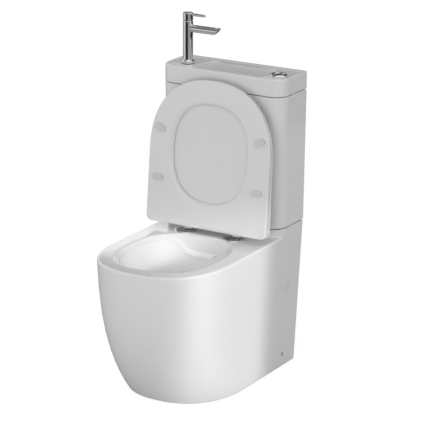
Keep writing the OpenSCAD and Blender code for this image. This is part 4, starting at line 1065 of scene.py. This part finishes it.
@dataclass
class Tap(SubAssembly):
    """The tap: column, spout, turning cap and lever, in millimetres."""

    x: float = -135.0
    y: float = 210.0
    base: float = 841.5
    radius: float = 14.0
    seam: float = 962.0
    top: float = 983.0
    spout_z: float = 939.0
    spout_r: float = 10.5
    reach: float = 105.5
    lever_z: float = 977.7
    lever_reach: float = 56.0
    bore: float = 11.8
    pipe: float = 5.0
    socket: float = 12.0
    flare: float = 4.0
    rim: float = 1.7
    cap_gap: float = 1.0
    cap_rim: float = 1.4
    slant_rim: float = 0.7
    aerator: float = 8.1
    aerator_depth: float = 8.0

    def at(self, z: float) -> Matrix:
        """Returns the column's axis at a height."""
        return Matrix.Translation((self.x, self.y, z))

    def beside(self, reach: float, z: float) -> Matrix:
        """Returns the place of a pin that points along X, at a reach from the column's axis."""
        return Matrix.Translation((self.x + reach, self.y, z)) @ ALONG_X

    def build(self) -> None:
        """Makes the column with its spout, the cap and the lever."""
        self.build_body()
        self.build_cap()
        self.build_lever()

    def build_body(self) -> None:
        """Makes the column on its flared foot, and the spout with its slanted end."""
        top, flare = self.seam - self.cap_gap - self.base, self.radius + self.flare
        foot = smooth_rows([(flare - 0.6, 0), (flare, 0.8), (flare, 6), (flare - 0.9, 7.3),
                            (self.radius + 1, 8.2), (self.radius, 10)], 4)
        rim = [(self.radius - inset, top - drop) for inset, drop in rounding(self.rim)]
        inside = [(self.bore, top), (self.bore, top - self.socket), (self.pipe, top - self.socket),
                  (self.pipe, 0)]
        clay = Clay()
        clay.turned([(self.pipe, 0), *foot, *rim, *inside], self.at(self.base))
        body = join(clay.bake("tap_body.skin", METAL_SHARP), self.spout())
        self.shop.place(body, Finish.CHROME, "tap_body")

    def spout(self) -> Object:
        """Makes the spout, cut at a slant, with the seat of the aerator.

        Returns:
            The spout.
        """
        clay = Clay()
        start = self.bore + 0.6
        clay.rod(self.spout_r, self.reach + 4 - start, self.beside(start, self.spout_z),
                 steps=LATHE_STEPS)
        plane = Vector((self.x + self.reach - self.spout_r, self.y, self.spout_z))
        normal = Vector((1, 0, -1)).normalized()
        clay.bevel(clay.slice_off(plane, normal, WELD).edges, self.slant_rim)
        face = max((f for f in clay.bm.faces if f.normal.dot(normal) > 0.99),
                   key=lambda f: f.calc_area())
        seat = [plane + Vector(p) for p in self.slanted_ring(self.aerator)]
        edges = clay.ring([tuple(p) for p in seat])
        outer = list(face.edges)
        bmesh.ops.delete(clay.bm, geom=[face], context="FACES_ONLY")
        clay.fill(outer, edges)
        deep = clay.draw_out(edges, [tuple(p - self.aerator_depth * normal) for p in seat])
        bmesh.ops.contextual_create(clay.bm, geom=list(deep))
        return clay.bake("spout", METAL_SHARP)

    @staticmethod
    def slanted_ring(radius: float) -> Loop:
        """Returns a circle in the slanted plane of the spout's end."""
        lean = math.sqrt(0.5)
        return [(x * lean, y, x * lean) for x, y in circle(radius, (0.0, 0.0))]

    def build_cap(self) -> None:
        """Makes the turning cap with the stem that reaches down to the tilt axis."""
        clay = Clay()
        high, wall = self.top - self.seam, self.radius - 1.8
        profile = [(0, 12), (wall, 12), (wall, 0), (self.radius - 0.4, 0),
                   (self.radius - 0.1, 0.15), (self.radius, 0.5)]
        profile += [(self.radius - inset, high - drop) for inset, drop in rounding(self.cap_rim)]
        clay.turned(profile + [(0, high)], self.at(self.seam))
        clay.block((self.x - 2, self.y - 2, self.seam - 12),
                   (self.x + 2, self.y + 2, self.seam + 12.5))
        self.shop.skin(clay, Finish.CHROME, "tap_handle_cap")

    def build_lever(self) -> None:
        """Makes the thin lever with its rounded tip."""
        clay = Clay()
        start = self.radius + 0.1
        end = self.lever_reach - start
        stem = [(0, -5.9), (2.5, -5.9), (2.5, 0), (3.8, 0), (4.0, 0.1), (4.1, 0.3)]
        tip = [(3.6, end - 3), (3.5, end - 2.1), (3.31, end - 1.4), (2.9, end - 0.8),
               (2.3, end - 0.35), (1.2, end - 0.05), (0, end)]
        clay.turned(stem + tip, self.beside(start, self.lever_z), 48)
        self.shop.skin(clay, Finish.CHROME, "tap_lever")


@dataclass
class FlushButton(SubAssembly):
    """The chrome ring with its two half buttons, in millimetres."""

    x: float = 151.0
    y: float = 210.0
    deck: float = 840.0
    ring: float = 24.5
    well: float = 14.5
    height: float = 6.0
    button: float = 14.2
    sleeve: float = 19.5
    thread: float = 34.0
    split: float = 0.4
    sink: float = 1.6
    skirt: float = 4.0
    plunger_r: float = 9.0
    plunger: float = 36.4

    @property
    def place(self) -> Matrix:
        """Returns the button's axis at the deck."""
        return Matrix.Translation((self.x, self.y, self.deck))

    def build(self) -> None:
        """Makes the ring and both buttons."""
        clay = Clay()
        dome = smooth_rows([(self.ring - 0.4, 0), (self.ring, 2.1), (self.ring - 1.2, 4.32),
                            (self.ring - 4, 6), (self.well + 3, 6), (self.well + 1, 5),
                            (self.well, 3.6)], 4)
        foot = (self.well, -self.thread)
        clay.turned([foot, (self.sleeve, -self.thread), (self.sleeve, 0), *dome, foot], self.place)
        self.shop.skin(clay, Finish.CHROME, "button_bezel")
        self.half(-1, "button_full_flush")
        self.half(1, "button_half_flush")

    def half(self, side: int, node: str) -> None:
        """Makes one half button with its plunger.

        Args:
            side: -1 for the half on the left, 1 for the one on the right.
            node: which it stands for.
        """
        clay = Clay()
        top, radius = self.height - self.sink, self.button
        shoulder = top - self.skirt
        crown = [(0, top - 0.5), (5, top - 0.44), (10, top - 0.2), (radius - 1.6, top),
                 (radius - 0.8, top - 0.1), (radius - 0.2, top - 0.45), (radius, top - 1),
                 (radius, shoulder), (self.plunger_r, shoulder),
                 (self.plunger_r, shoulder - self.plunger), (0, shoulder - self.plunger)]
        clay.turned(crown, self.place)
        face = clay.slice_off((self.x + side * self.split, self.y, self.deck), (-side, 0, 0), 1e-5)
        crown_z = self.deck + top - 1.2
        clay.bevel([e for e in face.edges if min(v.co.z for v in e.verts) > crown_z], 0.35, 2)
        self.shop.skin(clay, Finish.CHROME, node)


@dataclass
class SmallPieces(SubAssembly):
    """The pieces that keep their own solids."""

    finishes: dict[Finish, tuple[str, ...]] = field(default_factory=lambda: {
        Finish.CHROME: ("hinge_post_left", "hinge_post_right", "hinge_rosette_left",
                        "hinge_rosette_right", "basin_waste", "tap_tilt_pin"),
        Finish.BUFFER: ("seat_buffers", "lid_buffers"),
        Finish.GREY: ("hinge_dampers", "tap_hose", "flush_cable", "tap_aerator", "tap_cartridge",
                      "button_housing"),
        Finish.RUBBER: ("basin_pads", "cistern_pads", "seat_bolt_washers", "tap_base_seal",
                        "valve_seal", "doughnut_seal", "coupling_washers"),
        Finish.WHITE: ("tap_spindle", "basin_waste_nut", "button_nut", "flush_valve_body",
                       "overflow_tube", "valve_back_nut", "fill_valve", "fill_valve_float",
                       "fill_valve_nut", "side_caps", "seat_bolt_nuts"),
        Finish.STEEL: ("seat_bolts", "coupling_bolts", "floor_brackets", "side_screws"),
        Finish.BRASS: ("tap_shank", "tap_shank_nut", "tap_inlet_fitting", "coupling_wing_nuts"),
    })

    def build(self) -> None:
        """Dresses each of them."""
        for finish, nodes in self.finishes.items():
            self.shop.dress(finish, *nodes)


# Studio
def facing(place: Point3, aim: Point3, front: str) -> Quaternion:
    """Returns the turn that points a thing's front axis from its place to an aim."""
    return (Vector(aim) - Vector(place)).to_track_quat(front, "Y")


@dataclass(frozen=True)
class Lamp:
    """A soft lamp that the camera doesn't see, in metres and watts."""

    name: str
    place: Point3
    aim: Point3
    size: Point2
    watts: float
    beam: float = 0.0

    def build(self) -> None:
        """Hangs the lamp; one with a beam, in degrees, shines straight ahead and is reflected."""
        data = bpy.data.lights.new(self.name, "AREA")
        data.shape = "RECTANGLE"
        data.size, data.size_y = self.size
        if self.beam > 0:
            data.spread = math.radians(self.beam)
        data.energy = self.watts
        lamp = add_object(self.name, data)
        lamp.location = self.place
        lamp.rotation_euler = facing(self.place, self.aim, "-Z").to_euler()
        lamp.visible_camera = False
        lamp.visible_glossy = self.beam > 0


@dataclass(frozen=True)
class Card:
    """A card that only shows in shiny surfaces, in metres."""

    name: str
    place: Point3
    aim: Point3
    size: Point2
    level: float

    def build(self) -> None:
        """Makes the card."""
        turn = facing(self.place, self.aim, "Z").to_matrix().to_4x4()
        place = Matrix.Translation(self.place) @ turn @ Matrix.Diagonal((*self.size, 1, 1))
        bm = bmesh.new()
        bmesh.ops.create_grid(bm, x_segments=1, y_segments=1, size=0.5, matrix=place)
        card = add_mesh(self.name, bm)
        graph = Graph(self.name)
        card.data.materials.append(graph.surface(
            Base_Color=(0, 0, 0, 1), Roughness=1.0, Specular_IOR_Level=0.0,
            Emission_Color=(1, 1, 1, 1), Emission_Strength=self.level))
        for ray in ("camera", "diffuse", "transmission", "volume_scatter", "shadow"):
            setattr(card, "visible_" + ray, False)


@dataclass
class Studio:
    """The floor, the light and the camera."""

    azimuth: float = 30.784
    elevation: float = 17.217
    roll: float = 0.244
    distance: float = 5.94804
    focal: float = 2197.38
    target: Point3 = (0.052238, 0.045, 0.474647)
    frame_px: float = 430.0
    sensor: float = 36.0
    floor_radius: float = 12.0
    floor_grey: float = 0.5
    floor_glow: float = 1.17
    floor_share: float = 0.8
    world_shiny: Point2 = (0.40, 0.67)
    lamps: tuple[Lamp, ...] = (
        Lamp("key", (2.858, -0.947, 1.117), (0.13, -0.06, 0.24), (0.35, 0.50), 0.25, 2.7),
        Lamp("front", (0.554, -3.044, 0.673), (0.0, 0.1, 0.45), (2.0, 1.0), 19.5),
        Lamp("right", (3.161, 0.544, 0.673), (0.0, 0.1, 0.45), (2.0, 1.0), 6.0),
        Lamp("bowl", (0.359, -1.509, 2.221), (-0.03, 0.05, 0.306), (0.20, 0.12), 0.02, 3.0),
    )
    cards: tuple[Card, ...] = (
        Card("dark_back", (0.0, 2.6, 3.05), (0.0, 0.0, 3.05), (6.0, 3.0), 0.12),
        Card("bright_back", (0.0, 2.6, 1.25), (0.0, 0.0, 1.25), (6.0, 0.5), 1.8),
        Card("dark_low", (0.0, 0.8, 0.9), (0.0, 0.2, 0.9), (2.2, 0.22), 0.06),
        Card("dark_front", (0.053, -1.58, 0.42), (-0.135, 0.21, 0.42), (1.5, 0.4), 0.0),
        Card("dark_right", (1.391, 1.164, 0.42), (-0.135, 0.21, 0.42), (2.5, 0.4), 0.03),
        Card("bright_left", (-1.591, -0.848, 0.42), (-0.135, 0.21, 0.42), (0.8, 0.4), 0.85),
        Card("dark_high", (-1.472, -1.127, 2.398), (-0.135, 0.21, 0.92), (2.8, 2.4), 0.22),
        Card("dark_top", (-0.997, 0.561, 2.923), (0.151, 0.21, 0.845), (1.8, 1.4), 0.25),
    )

    def build(self) -> None:
        """Makes the camera, the floor, the lamps and the surroundings."""
        bpy.context.scene.view_settings.view_transform = "Standard"
        self.build_camera()
        self.build_floor()
        self.build_world()
        for thing in self.lamps + self.cards:
            thing.build()

    def build_camera(self) -> None:
        """Puts the camera where the photograph was taken from."""
        azimuth, elevation, roll = (math.radians(v)
                                    for v in (self.azimuth, self.elevation, self.roll))
        level = math.cos(elevation)
        back = Vector((math.sin(azimuth) * level, -math.cos(azimuth) * level, math.sin(elevation)))
        right = Vector((math.cos(azimuth), math.sin(azimuth), 0))
        up = back.cross(right)
        right, up = (math.cos(roll) * right + math.sin(roll) * up,
                     -math.sin(roll) * right + math.cos(roll) * up)
        data = bpy.data.cameras.new("camera")
        data.sensor_width = self.sensor
        data.lens = self.focal * self.sensor / self.frame_px
        data.clip_end = 100
        camera = add_object("camera", data)
        turn = Matrix((right, up, back)).transposed().to_4x4()
        camera.matrix_world = Matrix.Translation(Vector(self.target) + back * self.distance) @ turn
        bpy.context.scene.camera = camera

    def build_floor(self) -> None:
        """Makes the white floor, which keeps a little of the object's shadow."""
        bm = bmesh.new()
        bmesh.ops.create_circle(bm, cap_ends=True, segments=LATHE_STEPS, radius=self.floor_radius)
        floor = add_mesh("floor", bm)
        graph = Graph("studio_floor")
        material = graph.surface(Base_Color=(*[self.floor_grey] * 3, 1), Roughness=0.95)
        seen = Signal(graph, graph.node("ShaderNodeLightPath", {}, {}).outputs["Is Camera Ray"])
        glow = graph.node("ShaderNodeEmission", {}, {"Strength": self.floor_glow}).outputs[0]
        both = graph.node("ShaderNodeMixShader", {},
                          {0: seen * self.floor_share, 1: graph.shader.outputs[0], 2: glow})
        graph.feed(graph.nodes["Material Output"].inputs["Surface"], both.outputs[0])
        floor.data.materials.append(material)

    def build_world(self) -> None:
        """Makes even surroundings, which the camera sees as white."""
        graph = Graph("surroundings", "worlds", "Background")
        rays = graph.node("ShaderNodeLightPath", {}, {}).outputs
        gain, level = self.world_shiny
        shiny = graph.node("ShaderNodeMath", {"operation": "MULTIPLY_ADD"},
                           {0: rays["Is Glossy Ray"], 1: gain, 2: level})
        strength = graph.node("ShaderNodeMath", {"operation": "MAXIMUM"},
                              {0: rays["Is Camera Ray"], 1: shiny.outputs[0]})
        bpy.context.scene.world = graph.surface(Color=(1, 1, 1, 1), Strength=strength.outputs[0])


def main() -> None:
    """Builds the object piece by piece, then the studio round it."""
    logging.basicConfig(level=logging.INFO, format="%(name)s: %(message)s")
    shop = Workshop()
    for part in (Pan, Cistern, Basin, SeatAndLid, Tap, FlushButton, SmallPieces):
        part(shop).build()
    Studio().build()


if __name__ == "__main__":
    main()
